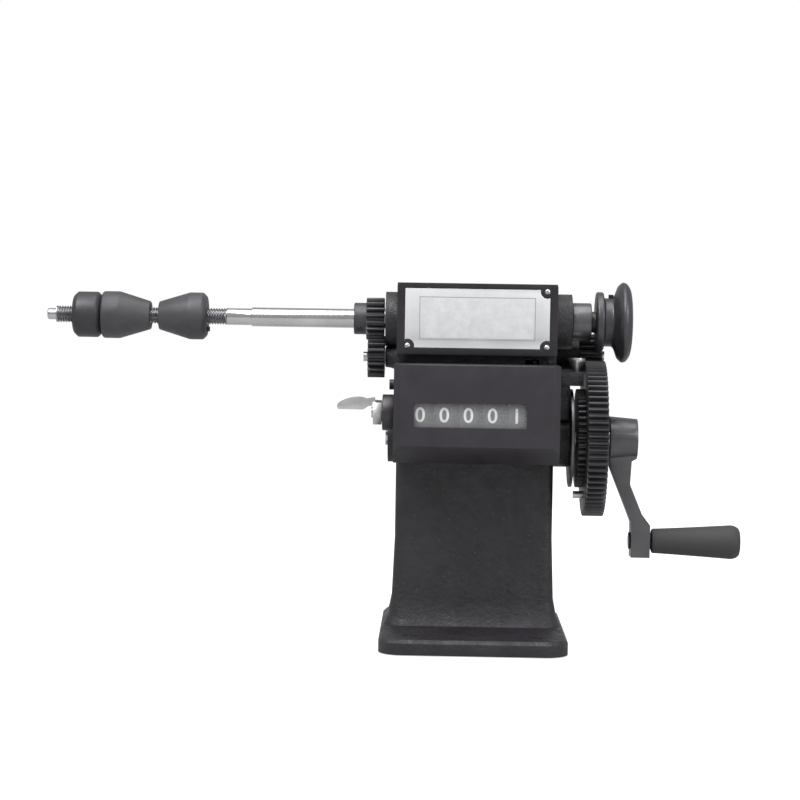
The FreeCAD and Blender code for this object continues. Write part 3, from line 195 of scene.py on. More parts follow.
def helix_rod(x_start: float, x_end: float, radius: float, pitch: float, depth: float,
              axis: Axis, per_turn: int = 40) -> Surface:
    """Rod with a cut thread.

    The radius at (x, a) is R - depth w, where w is a triangle wave of
    x / pitch - a / 2 pi with its crest flattened, faded out near both ends.

    Args:
        x_start: Left end of the thread.
        x_end: Right end of the thread.
        radius: Radius over the crests.
        pitch: Travel in one turn.
        depth: Depth of the thread.
        axis: Axis of the rod.
        per_turn: Number of angles.

    Returns:
        Vertices and quads of the thread's skin, open at both ends.
    """
    count = int((x_end - x_start) / pitch * 10)
    x = np.linspace(x_start, x_end, count)[:, None]
    angle = np.linspace(0.0, 2 * math.pi, per_turn, endpoint=False)[None, :]
    wave = np.abs(2 * np.mod(x / pitch - angle / (2 * math.pi), 1.0) - 1.0)
    wave = np.clip(wave * 1.25 - 0.12, 0.0, 1.0)
    edge = np.minimum(x - x_start, x_end - x)
    fade = np.clip(edge / pitch, 0.0, 1.0)
    vertices = around(axis, x, radius - depth * wave * fade, angle)
    return vertices, grid_faces(count, per_turn, False)


@dataclass(frozen=True)
class GearForm:
    """Involute gear in the YZ plane.

    Attributes:
        teeth: Number of teeth.
        module: Module.
        thinning: Width taken off each tooth at the pitch circle.
    """

    teeth: int
    module: float = 1.0
    thinning: float = 0.1

    @property
    def pitch_radius(self) -> float:
        """Radius of the pitch circle."""
        return self.module * self.teeth / 2

    @property
    def tip_radius(self) -> float:
        """Radius over the teeth."""
        return self.pitch_radius + self.module

    def outline(self, phase: float) -> tuple[np.ndarray, np.ndarray]:
        """Work out the gear's outline in polar form.

        A flank's angle at radius r is h + inv(pitch) - inv(r), where inv is
        tan(p) - p at the pressure angle p = arccos(base / r), and h is half
        the tooth's angle at the pitch circle.

        Args:
            phase: Angle of one tooth's middle from +Y towards +Z.

        Returns:
            Angles and radii of the outline's points.
        """
        base = self.pitch_radius * math.cos(PRESSURE_ANGLE)
        root = self.pitch_radius - 1.25 * self.module
        fillet = root + 0.25 * self.module
        flank = np.linspace(max(base, fillet), self.tip_radius, 5)
        pressure = np.arccos(np.clip(base / flank, -1.0, 1.0))
        gained = np.tan(pressure) - pressure
        at_pitch = math.tan(PRESSURE_ANGLE) - PRESSURE_ANGLE
        half = (math.pi * self.module / 2 - self.thinning) / (2 * self.pitch_radius)
        angle = half + at_pitch - gained
        foot = angle[0] + 0.22 * self.module / root
        radii = np.concatenate([[root], flank, [self.tip_radius], flank[::-1], [root]])
        angles = np.concatenate([[-foot], -angle, [0.0], angle[::-1], [foot]])
        middle = phase + 2 * math.pi * np.arange(self.teeth) / self.teeth
        return (middle[:, None] + angles).ravel(), np.tile(radii, self.teeth)

    def solid(self, axis: Axis, x_range: Point, phase: float, inner: Sequence[Point],
              bevel: float = 0.15) -> Surface:
        """Carry the outline along X, and close it over the inner rings.

        Each ring keeps the outline's angles.  The four outer rings have the
        outline's radii, the outermost two drawn in by the bevel; every inner
        ring has one radius.

        Args:
            axis: Axis of the gear.
            x_range: Both end planes of the teeth.
            phase: Angle of one tooth's middle.
            inner: Inner rings as (x, radius), from the right face inwards and
                round to the left face.
            bevel: Width of the bevel at both ends of the teeth.

        Returns:
            Vertices and quads.
        """
        angle, radius = self.outline(phase)
        left, right = x_range
        outer_x = np.array([left, left + bevel, right - bevel, right])
        outer_r = radius[None, :] - np.array([bevel, 0.0, 0.0, bevel])[:, None]
        inner_rings = np.asarray(inner, float)
        x = np.concatenate([outer_x, inner_rings[:, 0]])[:, None]
        r = np.concatenate([outer_r, np.broadcast_to(
            inner_rings[:, 1:], (len(inner_rings), len(angle)))])
        return around(axis, x, r, angle), grid_faces(len(r), len(angle), True)


def meshed_phase(phase: float, own: GearForm, other: GearForm, direction: float) -> float:
    """Return the tooth angle of a gear in mesh with one whose angle is known."""
    turned_by = (phase - direction) * own.teeth / other.teeth
    return direction + math.pi - turned_by - math.pi / other.teeth


# Shader groups, each built once

def wire_up(tree: bpy.types.NodeTree, made: dict[str, bpy.types.Node], nodes: NodeTable,
            wires: str) -> None:
    """Add nodes to a shader tree and join them.

    Args:
        tree: Tree of a group, a material or the world.
        made: Nodes that it has already, by label; the new ones join them.
        nodes: Kind, traits and constant inputs of each new node, by label.
        wires: Joints as "label.socket > label.socket", parted by commas; a
            number stands for the place of an input.
    """
    for label, (kind, traits, values) in nodes.items():
        made[label] = tree.nodes.new("ShaderNode" + kind)
        for trait, value in traits.items():
            setattr(made[label], trait, value)
        for socket, value in values.items():
            made[label].inputs[socket].default_value = value
    for wire in wires.split(", "):
        (source, leaving), (target, entering) = (end.split(".") for end in wire.split(" > "))
        socket = int(entering) if entering.isdigit() else entering
        tree.links.new(made[source].outputs[leaving], made[target].inputs[socket])


def group_of(name: str, inputs: dict[str, float], output: str, nodes: NodeTable,
             wires: str) -> bpy.types.NodeTree:
    """Build a shader group once.

    Args:
        name: Name of the group.
        inputs: Default of each value that it takes besides a Vector.
        output: Name of the value that it gives.
        nodes: Nodes, as for wire_up.
        wires: Joints, with "in" and "out" for the group's own ends.

    Returns:
        The group.
    """
    if name in bpy.data.node_groups:
        return bpy.data.node_groups[name]
    tree = bpy.data.node_groups.new(name, "ShaderNodeTree")
    face = tree.interface
    face.new_socket("Vector", in_out="INPUT", socket_type="NodeSocketVector")
    for label, value in inputs.items():
        socket = face.new_socket(label, in_out="INPUT", socket_type="NodeSocketFloat")
        socket.default_value = value
    face.new_socket(output, in_out="OUTPUT", socket_type="NodeSocketFloat")
    ends = {"in": tree.nodes.new("NodeGroupInput"), "out": tree.nodes.new("NodeGroupOutput")}
    wire_up(tree, ends, nodes, wires)
    return tree


def mottle_group() -> bpy.types.NodeTree:
    """Return the group that gives a soft uneven value between two limits."""
    return group_of("uneven_value", {"Scale": 60.0, "Low": 0.0, "High": 1.0}, "Value", {
        "noise": ("TexNoise", {}, {"Detail": 4.0, "Roughness": 0.6}),
        "range": ("MapRange", {}, {"From Min": 0.32, "From Max": 0.68})},
        "in.Vector > noise.Vector, in.Scale > noise.Scale, noise.Fac > range.Value, "
        "in.Low > range.To Min, in.High > range.To Max, range.Result > out.Value")


def relief_group() -> bpy.types.NodeTree:
    """Return the group that gives the height of a lumpy and grainy skin."""
    return group_of("skin_relief", {"Coarse": 250.0, "Fine": 1400.0, "Grain": 0.4}, "Height", {
        "coarse": ("TexNoise", {}, {"Detail": 2.0}),
        "fine": ("TexNoise", {}, {"Detail": 3.0}),
        "scaled": ("Math", {"operation": "MULTIPLY"}, {}),
        "total": ("Math", {"operation": "ADD"}, {})},
        "in.Vector > coarse.Vector, in.Coarse > coarse.Scale, in.Vector > fine.Vector, "
        "in.Fine > fine.Scale, fine.Fac > scaled.0, in.Grain > scaled.1, "
        "coarse.Fac > total.0, scaled.Value > total.1, total.Value > out.Height")


def turning_group() -> bpy.types.NodeTree:
    """Return the group that gives fine rings across X, as a lathe tool leaves."""
    return group_of("turning_rings", {"Rings": 900.0}, "Height", {
        "stretch": ("VectorMath", {"operation": "MULTIPLY"}, {1: (1.0, 0.012, 0.012)}),
        "noise": ("TexNoise", {}, {"Detail": 2.0})},
        "in.Vector > stretch.0, stretch.Vector > noise.Vector, in.Rings > noise.Scale, "
        "noise.Fac > out.Height")


def speck_group() -> bpy.types.NodeTree:
    """Return the group that marks a small speck in some cells of a scatter, where a painted glint
    goes.
    """
    return group_of("painted_glint_specks", {"Scale": 300.0}, "Mask", {
        "cells": ("TexVoronoi", {}, {}),
        "near": ("Math", {"operation": "LESS_THAN"}, {1: 0.085}),
        "chosen": ("Math", {"operation": "GREATER_THAN"}, {1: 0.64}),
        "both": ("Math", {"operation": "MULTIPLY"}, {})},
        "in.Vector > cells.Vector, in.Scale > cells.Scale, cells.Distance > near.0, "
        "cells.Color > chosen.0, near.Value > both.0, chosen.Value > both.1, "
        "both.Value > out.Mask")


def shaded(name: str, values: dict[str, object], nodes: NodeTable,
           wires: str) -> bpy.types.Material:
    """Build a material once.

    Args:
        name: Name of the material.
        values: Constant inputs of its Principled shader.
        nodes: Nodes, as for wire_up.
        wires: Joints, with "shader" for the Principled shader.

    Returns:
        The material.
    """
    if name in bpy.data.materials:
        return bpy.data.materials[name]
    made = bpy.data.materials.new(name)
    made.use_nodes = True
    shader = made.node_tree.nodes["Principled BSDF"]
    for socket, value in values.items():
        shader.inputs[socket].default_value = value
    wire_up(made.node_tree, {"shader": shader}, nodes, wires)
    return made


@dataclass(frozen=True)
class Finish:
    """A finish with uneven tone, uneven gloss and relief.

    Attributes:
        name: Name of the material.
        dark: Darker of the two colours that it drifts between.
        light: Lighter of the two.
        metallic: Share of metal.
        roughness: Lowest and highest roughness.
        tone_scale: Patches in a metre, of tone and gloss.
        coarse: Lumps in a metre.
        fine: Grains in a metre.
        grain: Height of the grains against the lumps.
        relief: Height of the relief in millimetres.
        rings: Turning rings in a metre, or 0 for none.
        specks: Cells in a metre, of which some hold a painted glint, a light speck of colour that
            stands in for a highlight, or 0.
        alpha: Share of the light that it stops.
    """

    name: str
    dark: Colour
    light: Colour
    metallic: float = 0.0
    roughness: Point = (0.4, 0.5)
    tone_scale: float = 45.0
    coarse: float = 250.0
    fine: float = 1400.0
    grain: float = 0.4
    relief: float = 0.02
    rings: float = 0.0
    specks: float = 0.0
    alpha: float = 1.0

    def material(self) -> bpy.types.Material:
        """Build the material once, and return it."""
        mottle, coloured = {"node_tree": mottle_group()}, {"data_type": "RGBA"}
        low, high = self.roughness
        nodes = {
            "place": ("TexCoord", {}, {}),
            "tone": ("Group", mottle, {"Scale": self.tone_scale, "Low": 0.0, "High": 1.0}),
            "paint": ("Mix", coloured, {"A": (*self.dark, 1.0), "B": (*self.light, 1.0)}),
            "gloss": ("Group", mottle, {"Scale": self.tone_scale * 3.1, "Low": low, "High": high}),
            "skin": ("Group", {"node_tree": relief_group()}, {
                "Coarse": self.coarse, "Fine": self.fine, "Grain": self.grain}),
            "bump": ("Bump", {}, {"Strength": 1.0, "Distance": self.relief * MM})}
        wires = ("place.Object > tone.Vector, tone.Value > paint.Factor, "
                 "place.Object > gloss.Vector, gloss.Value > shader.Roughness, "
                 "place.Object > skin.Vector, skin.Height > bump.Height")
        colour, normal = "paint", "bump"
        if self.specks:
            # Painted glints: a light colour mixed into some cells stands in for highlights on the
            # grain.
            nodes["speck"] = ("Group", {"node_tree": speck_group()}, {"Scale": self.specks})
            nodes["dotted"] = ("Mix", coloured, {"B": (0.085, 0.08, 0.088, 1.0)})
            wires += (", place.Object > speck.Vector, speck.Mask > dotted.Factor, "
                      "paint.Result > dotted.A")
            colour = "dotted"
        if self.rings:
            nodes["turning"] = ("Group", {"node_tree": turning_group()}, {"Rings": self.rings})
            nodes["lines"] = ("Bump", {}, {"Strength": 0.5, "Distance": 0.012 * MM})
            wires += (", place.Object > turning.Vector, turning.Height > lines.Height, "
                      "bump.Normal > lines.Normal")
            normal = "lines"
        wires += f", {colour}.Result > shader.Base Color, {normal}.Normal > shader.Normal"
        return shaded(self.name, {"Metallic": self.metallic, "Alpha": self.alpha}, nodes, wires)


# The cast paint carries painted glints: light dots of colour that stand in for highlights on its
# grain.
CAST_PAINT = Finish(
    "rough_cast_paint", (0.0065, 0.0055, 0.0078), (0.0165, 0.014, 0.0185), roughness=(0.36, 0.62),
    tone_scale=70.0, coarse=420.0, fine=1500.0, grain=0.7, relief=0.36, specks=380.0)
COVER_PAINT = Finish(
    "smooth_black_paint", (0.008, 0.0068, 0.0094), (0.015, 0.0128, 0.0172), roughness=(0.3, 0.46),
    coarse=500.0, fine=2500.0, relief=0.025)
CASE_PAINT = Finish(
    "fine_black_paint", (0.0135, 0.0112, 0.0152), (0.021, 0.0178, 0.0238), roughness=(0.36, 0.5),
    coarse=900.0, fine=3200.0)
DARK_STEEL = Finish(
    "blackened_steel", (0.05, 0.048, 0.053), (0.085, 0.082, 0.09), metallic=0.75,
    roughness=(0.34, 0.5), coarse=600.0, fine=2600.0, relief=0.012, rings=1600.0)
SATIN_STEEL = replace(
    DARK_STEEL, name="satin_blackened_steel", dark=(0.084, 0.082, 0.087),
    light=(0.125, 0.122, 0.13), roughness=(0.3, 0.44))
GEAR_STEEL = replace(
    DARK_STEEL, name="blackened_gear_steel", dark=(0.048, 0.046, 0.05), light=(0.086, 0.084, 0.09),
    metallic=0.7, roughness=(0.34, 0.52), rings=0.0)
CONE_STEEL = Finish(
    "dull_blackened_steel", (0.053, 0.052, 0.056), (0.081, 0.079, 0.086), metallic=0.5,
    roughness=(0.45, 0.6), coarse=700.0, fine=3000.0, relief=0.01, rings=1400.0)
NUT_STEEL = replace(
    CONE_STEEL, name="dark_nut_steel", dark=(0.034, 0.033, 0.037), light=(0.052, 0.05, 0.056),
    roughness=(0.42, 0.58))
BRIGHT_STEEL = Finish(
    "ground_steel", (0.44, 0.44, 0.45), (0.54, 0.54, 0.55), metallic=1.0, roughness=(0.14, 0.24),
    coarse=300.0, fine=4000.0, relief=0.004, rings=2200.0)
THREAD_STEEL = Finish(
    "cut_thread_steel", (0.24, 0.24, 0.25), (0.36, 0.36, 0.37), metallic=1.0,
    roughness=(0.22, 0.36), coarse=500.0, fine=3000.0, relief=0.006)
SPRING_STEEL = Finish(
    "bright_sheet_steel", (0.48, 0.48, 0.48), (0.62, 0.62, 0.62), metallic=1.0,
    roughness=(0.25, 0.4), coarse=200.0, fine=1500.0)
DISC_STEEL = Finish(
    "dull_disc_steel", (0.1, 0.1, 0.104), (0.17, 0.17, 0.175), metallic=1.0,
    roughness=(0.35, 0.5), coarse=400.0, fine=2600.0, relief=0.012)
PLATE_METAL = Finish(
    "brushed_plate", (0.6, 0.61, 0.625), (0.7, 0.71, 0.725), metallic=0.35,
    roughness=(0.32, 0.42), coarse=400.0, fine=3500.0, relief=0.01)
PLATE_PANEL = Finish(
    "etched_panel", (0.56, 0.57, 0.585), (0.65, 0.66, 0.675), metallic=0.25,
    roughness=(0.42, 0.6), tone_scale=260.0, coarse=900.0, fine=3500.0, relief=0.015)
PRINT_GREY = Finish("printed_grey", (0.26, 0.26, 0.28), (0.34, 0.34, 0.36), roughness=(0.45, 0.6))
WHEEL_PLASTIC = Finish(
    "dark_wheel_plastic", (0.018, 0.017, 0.02), (0.032, 0.03, 0.035), roughness=(0.4, 0.55),
    relief=0.01)
DIGIT_WHITE = Finish(
    "digit_white", (0.74, 0.75, 0.74), (0.84, 0.85, 0.84), roughness=(0.5, 0.6), relief=0.004)
GRIP_PLASTIC = Finish(
    "grip_plastic", (0.021, 0.0195, 0.0235), (0.033, 0.031, 0.0365), roughness=(0.28, 0.4),
    coarse=300.0, fine=2200.0)
SCREW_BLACK = Finish(
    "black_screw", (0.015, 0.015, 0.016), (0.03, 0.03, 0.032), metallic=0.4,
    roughness=(0.3, 0.45))
CLEAR_PANE = Finish(
    "clear_sheet", (0.9, 0.92, 0.94), (0.9, 0.92, 0.94), roughness=(0.04, 0.12), tone_scale=29.0,
    relief=0.0, alpha=0.1)


# Meshes into pieces

def add_piece(name: str, surface: Surface, body: Body, slot: Slot, finish: Finish,
              *replaces: str, sharp: float = 35.0) -> None:
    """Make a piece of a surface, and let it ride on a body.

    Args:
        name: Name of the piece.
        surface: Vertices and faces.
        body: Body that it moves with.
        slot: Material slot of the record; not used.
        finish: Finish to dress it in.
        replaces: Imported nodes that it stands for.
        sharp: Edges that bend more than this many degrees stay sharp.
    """
    vertices, faces = surface
    mesh = bpy.data.meshes.new(name)
    mesh.from_pydata((vertices * MM).tolist(), [], [list(face) for face in faces])
    work = bmesh.new()
    work.from_mesh(mesh)
    bmesh.ops.remove_doubles(work, verts=work.verts, dist=1e-7)
    bmesh.ops.dissolve_degenerate(work, dist=1e-8, edges=work.edges)
    bmesh.ops.recalc_face_normals(work, faces=work.faces)
    work.to_mesh(mesh)
    work.free()
    finish_piece(name, mesh, body.value, slot, finish, *replaces, sharp=sharp)


def finish_piece(name: str, mesh: bpy.types.Mesh, body: str, slot: Slot, finish: Finish,
                 *replaces: str, sharp: float = 35.0) -> None:
    """Shade, dress and place a mesh as a piece of a body; see add_piece."""
    mesh.shade_smooth()
    mesh.set_sharp_from_angle(angle=math.radians(sharp))
    mesh.materials.clear()
    mesh.materials.append(finish.material())
    piece = bpy.data.objects.new(name, mesh)
    bpy.context.scene.collection.objects.link(piece)
    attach(piece, body)
    if replaces:
        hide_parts(*replaces)
    LOG.info("%s: %d faces on %s", name, len(mesh.polygons), body)


def soften(node: str, name: str, body: Body, slot: Slot, finish: Finish, width: float,
           segments: int = 2,
           wide: tuple[float, Callable[[Vector], bool]] | None = None) -> None:
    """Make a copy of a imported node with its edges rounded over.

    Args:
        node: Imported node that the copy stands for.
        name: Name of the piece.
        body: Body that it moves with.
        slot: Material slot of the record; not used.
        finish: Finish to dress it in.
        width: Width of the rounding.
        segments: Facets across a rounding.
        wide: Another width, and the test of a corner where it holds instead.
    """
    work = bmesh.new()
    work.from_mesh(frame["nodes"][node].data)
    bmesh.ops.remove_doubles(work, verts=work.verts, dist=2e-6)
    bmesh.ops.dissolve_limit(work, angle_limit=math.radians(0.6), verts=work.verts,
                             edges=work.edges, delimit={"NORMAL"})
    passes = [(width, lambda corner: True)]
    if wide:
        passes.insert(0, wide)
    for offset, chosen in passes:
        picked = [edge for edge in work.edges
                  if len(edge.link_faces) == 2 and edge.calc_face_angle(0.0) > SHARP_BEND
                  and all(chosen(vertex.co / MM) for vertex in edge.verts)]
        bmesh.ops.bevel(work, geom=picked, offset=offset * MM, segments=segments, profile=0.5,
                        affect="EDGES", clamp_overlap=True)
    mesh = bpy.data.meshes.new(name)
    work.to_mesh(mesh)
    work.free()
    finish_piece(name, mesh, body.value, slot, finish, node, sharp=40.0)


def dress(finish: Finish, *nodes: str) -> None:
    """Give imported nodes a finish."""
    for node in nodes:
        slots = frame["nodes"][node].data.materials
        slots.clear()
        slots.append(finish.material())
        LOG.info("%s dressed in %s", node, finish.name)


def cut_gear(node: str, teeth: int, axis: Axis, phase: float, bore: float, body: Body) -> None:
    """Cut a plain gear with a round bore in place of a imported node."""
    low, high = box_of(node)
    gear = GearForm(teeth).solid(axis, (low.x, high.x), phase, [(high.x, bore), (low.x, bore)])
    add_piece(f"{node}_cut", gear, body, Slot.DARK_STEEL, GEAR_STEEL, node)


def box_of(node: str) -> tuple[Vector, Vector]:
    """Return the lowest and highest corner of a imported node."""
    low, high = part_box(node)
    return low / MM, high / MM


def pan_screw(head_radius: float, height: float, slot_width: float) -> Surface:
    """Domed screw head with a driver slot, along +Z from the origin.

    The head is a disc whose height at radius r is h (1 - 0.55 (r / R)^3), and
    the slot is the strip |y| < w / 2, where the height drops by 0.45 h.
    """
    rings = 18
    columns = 64
    radius = head_radius * np.linspace(0.0, 1.0, rings) ** 0.8
    angle = np.linspace(0.0, 2 * math.pi, columns, endpoint=False)
    x = radius[:, None] * np.cos(angle)
    y = radius[:, None] * np.sin(angle)
    z = height * (1.0 - 0.55 * (radius[:, None] / head_radius) ** 3) * np.ones_like(x)
    drop = np.clip((slot_width * 0.5 + 0.12 - np.abs(y)) / (0.12), 0.0, 1.0)
    z = z - drop * 0.45 * height
    top = np.stack([x, y, z], axis=-1)
    skirt = np.stack([x[-1], y[-1], np.full(columns, -0.2)], axis=-1)[None]
    vertices = np.concatenate([top, skirt]).reshape(-1, 3)
    return vertices, grid_faces(rings + 1, columns, False)


def socket_screw(radius: float, height: float) -> Surface:
    """Headless screw end with a round socket, along +Z from the origin."""
    profile = rounded([(-0.6, 0.0), (-0.6, radius), (height, radius),
                       (height, radius * 0.55), (height * 0.2, radius * 0.5),
                       (height * 0.2, 0.0)], 0.12, closed=False)
    vertices, faces = lathe(profile, Axis(0.0, 0.0), 40, closed=False)
    return np.stack([vertices[:, 2], vertices[:, 1], vertices[:, 0]], axis=-1), faces


def placed(surface: Surface, direction: Vector, place: Vector, twist: float = 0.0) -> Surface:
    """Turn a surface from +Z to a direction, spin it by a twist and move it."""
    turn = Vector((0, 0, 1)).rotation_difference(direction).to_matrix()
    spin = np.array([[math.cos(twist), -math.sin(twist), 0.0],
                     [math.sin(twist), math.cos(twist), 0.0], [0.0, 0.0, 1.0]])
    vertices, faces = surface
    return vertices @ (np.array(turn) @ spin).T + np.array(place), faces


def joined(surfaces: Sequence[Surface]) -> Surface:
    """Join several surfaces into one."""
    starts = np.cumsum([0] + [len(vertices) for vertices, _ in surfaces[:-1]]).tolist()
    vertices = np.concatenate([vertices for vertices, _ in surfaces])
    faces = [[index + start for index in face]
             for (_, group), start in zip(surfaces, starts) for face in group]
    return vertices, faces


def stacked(rings: Sequence[tuple[float, np.ndarray]], axis: int) -> Surface:
    """Join flat rings along X (axis 0) or Y (axis 1), closed at both ends' middles."""
    first, last = [(place, np.broadcast_to(ring.mean(axis=0), ring.shape))
                   for place, ring in (rings[0], rings[-1])]
    rows = [first, *rings, last]
    vertices = np.concatenate([np.insert(ring, axis, place, axis=1) for place, ring in rows])
    return vertices, grid_faces(len(rows), len(rings[0][1]), False)


# The machine's sub-assemblies

@dataclass
class StandAndHead:
    """Cast stand, the cover of its gear head and the plate on it.

    Attributes:
        casting_edge: Rounding of the casting's edges.
        base_edge: Rounding of the base's outer edges.
        cover_edge: Rounding of the cover's edges.
        border: Width of the plate's plain border.
        line: Width of the printed line round the panel.
        screw_head: Radius of a cover screw.
        screw_span: Distances between the cover screws along X and Z.
    """

    casting_edge: float = 0.9
    base_edge: float = 2.2
    cover_edge: float = 0.7
    border: float = 7.6
    line: float = 0.35
    screw_head: float = 1.25
    screw_span: Point = (65.0, 26.0)

    def build(self) -> None:
        """Build every piece of the stand and head."""
        self._casting()
        soften("head_cover", "cover_shell", Body.HOUSING, Slot.COVER_PAINT, COVER_PAINT,
               self.cover_edge, segments=3)
        soften("nameplate", "plate_blank", Body.HOUSING, Slot.PLATE_METAL, PLATE_METAL, 0.12)
        self._panel()
        self._screws()
        soften("tension_screw", "tension_screw_turned", Body.HOUSING, Slot.DARK_STEEL,
               SPRING_STEEL, 0.2)

    def _casting(self) -> None:
        """Round the casting's edges, and add its rib and shaft lug."""
        low, high = box_of("stand")
        side, front = 0.93 * -low.x, 0.93 * high.y
        soften("stand", "stand_casting", Body.HOUSING, Slot.CAST_PAINT, CAST_PAINT,
               self.casting_edge, segments=3, wide=(self.base_edge, lambda corner: (
                   corner.z < 8.0 and (abs(corner.x) > side or abs(corner.y) > front))))
        disc, crank = box_of("gear_disc"), Axis.of("crank_turn")
        top = box_of("tension_screw")[0].z + 0.3
        waist, foot, bevel = top - 6.0, crank.z + 9.0, 0.7
        rib = rounded([(-7.4, top), (-5.9, waist), (-7.4, foot), (9.0, foot), (5.4, waist),
                       (1.4, top)], 1.2)
        inwards = rib.mean(axis=0) - rib
        drawn = rib + bevel * inwards / np.linalg.norm(inwards, axis=1, keepdims=True)
        left, right = 37.2, disc[0].x - 0.5
        add_piece("head_rib", stacked([
            (left, drawn), (left + bevel, rib), (right - bevel, rib), (right, drawn)], 0),
            Body.HOUSING, Slot.CAST_PAINT, CAST_PAINT)
        start, end, bore = box_of("input_gear")[1].x + 0.35, -37.0, 2.5
        lug = rounded([(start, bore), (end, bore), (end, 6.4), (start + 2.6, 5.2), (start, 4.9)],
                      0.6)
        add_piece("input_lug", lathe(lug, Axis.of("input_turn"), 72), Body.HOUSING,
                  Slot.CAST_PAINT, CAST_PAINT)

    def _panel(self) -> None:
        """Build the plate's bare panel and the thin printed line round it."""
        low, high = box_of("nameplate")
        front = low.y
        outer = np.array([[low.x + self.border, low.z + self.border * 0.62],
                          [high.x - self.border, high.z - self.border * 0.62]])
        add_piece("plate_panel", self._slab(outer, front - 0.05, front + 0.1),
                  Body.HOUSING, Slot.PLATE_METAL, PLATE_PANEL)
        gap, line = 0.9, self.line
        grown = outer + np.array([[-gap], [gap]])
        strips = [
            [[grown[0, 0], grown[0, 1]], [grown[1, 0], grown[0, 1] + line]],
            [[grown[0, 0], grown[1, 1] - line], [grown[1, 0], grown[1, 1]]],
            [[grown[0, 0], grown[0, 1] + line], [grown[0, 0] + line, grown[1, 1] - line]],
            [[grown[1, 0] - line, grown[0, 1] + line], [grown[1, 0], grown[1, 1] - line]]]
        add_piece("plate_line", joined([
            self._slab(np.array(strip), front - 0.04, front + 0.1)
            for strip in strips]), Body.HOUSING, Slot.PLATE_METAL, PRINT_GREY)

    @staticmethod
    def _slab(corners: np.ndarray, front: float, back: float) -> Surface:
        """Return a thin upright slab between two XZ corners."""
        (x0, z0), (x1, z1) = corners
        ring = np.array([[x0, z0], [x1, z0], [x1, z1], [x0, z1]])
        return stacked([(front, ring), (back, ring)], 1)

    def _screws(self) -> None:
        """Build the three cover screws on their lands round the plate."""
        low, high = box_of("nameplate")
        front = box_of("head_cover")[0].y
        middle = (low + high) / 2
        heads = []
        for index, (x_side, z_side) in enumerate([(-1, -1), (1, -1), (1, 1)]):
            place = Vector((middle.x + self.screw_span[0] / 2 * x_side, front,
                            middle.z + self.screw_span[1] / 2 * z_side))
            head = pan_screw(self.screw_head, 0.8, 0.35)
            heads.append(placed(head, Vector((0, -1, 0)), place, twist=0.7 * index + 0.3))
        add_piece("cover_screws", joined(heads), Body.HOUSING, Slot.DARK_STEEL, SPRING_STEEL)


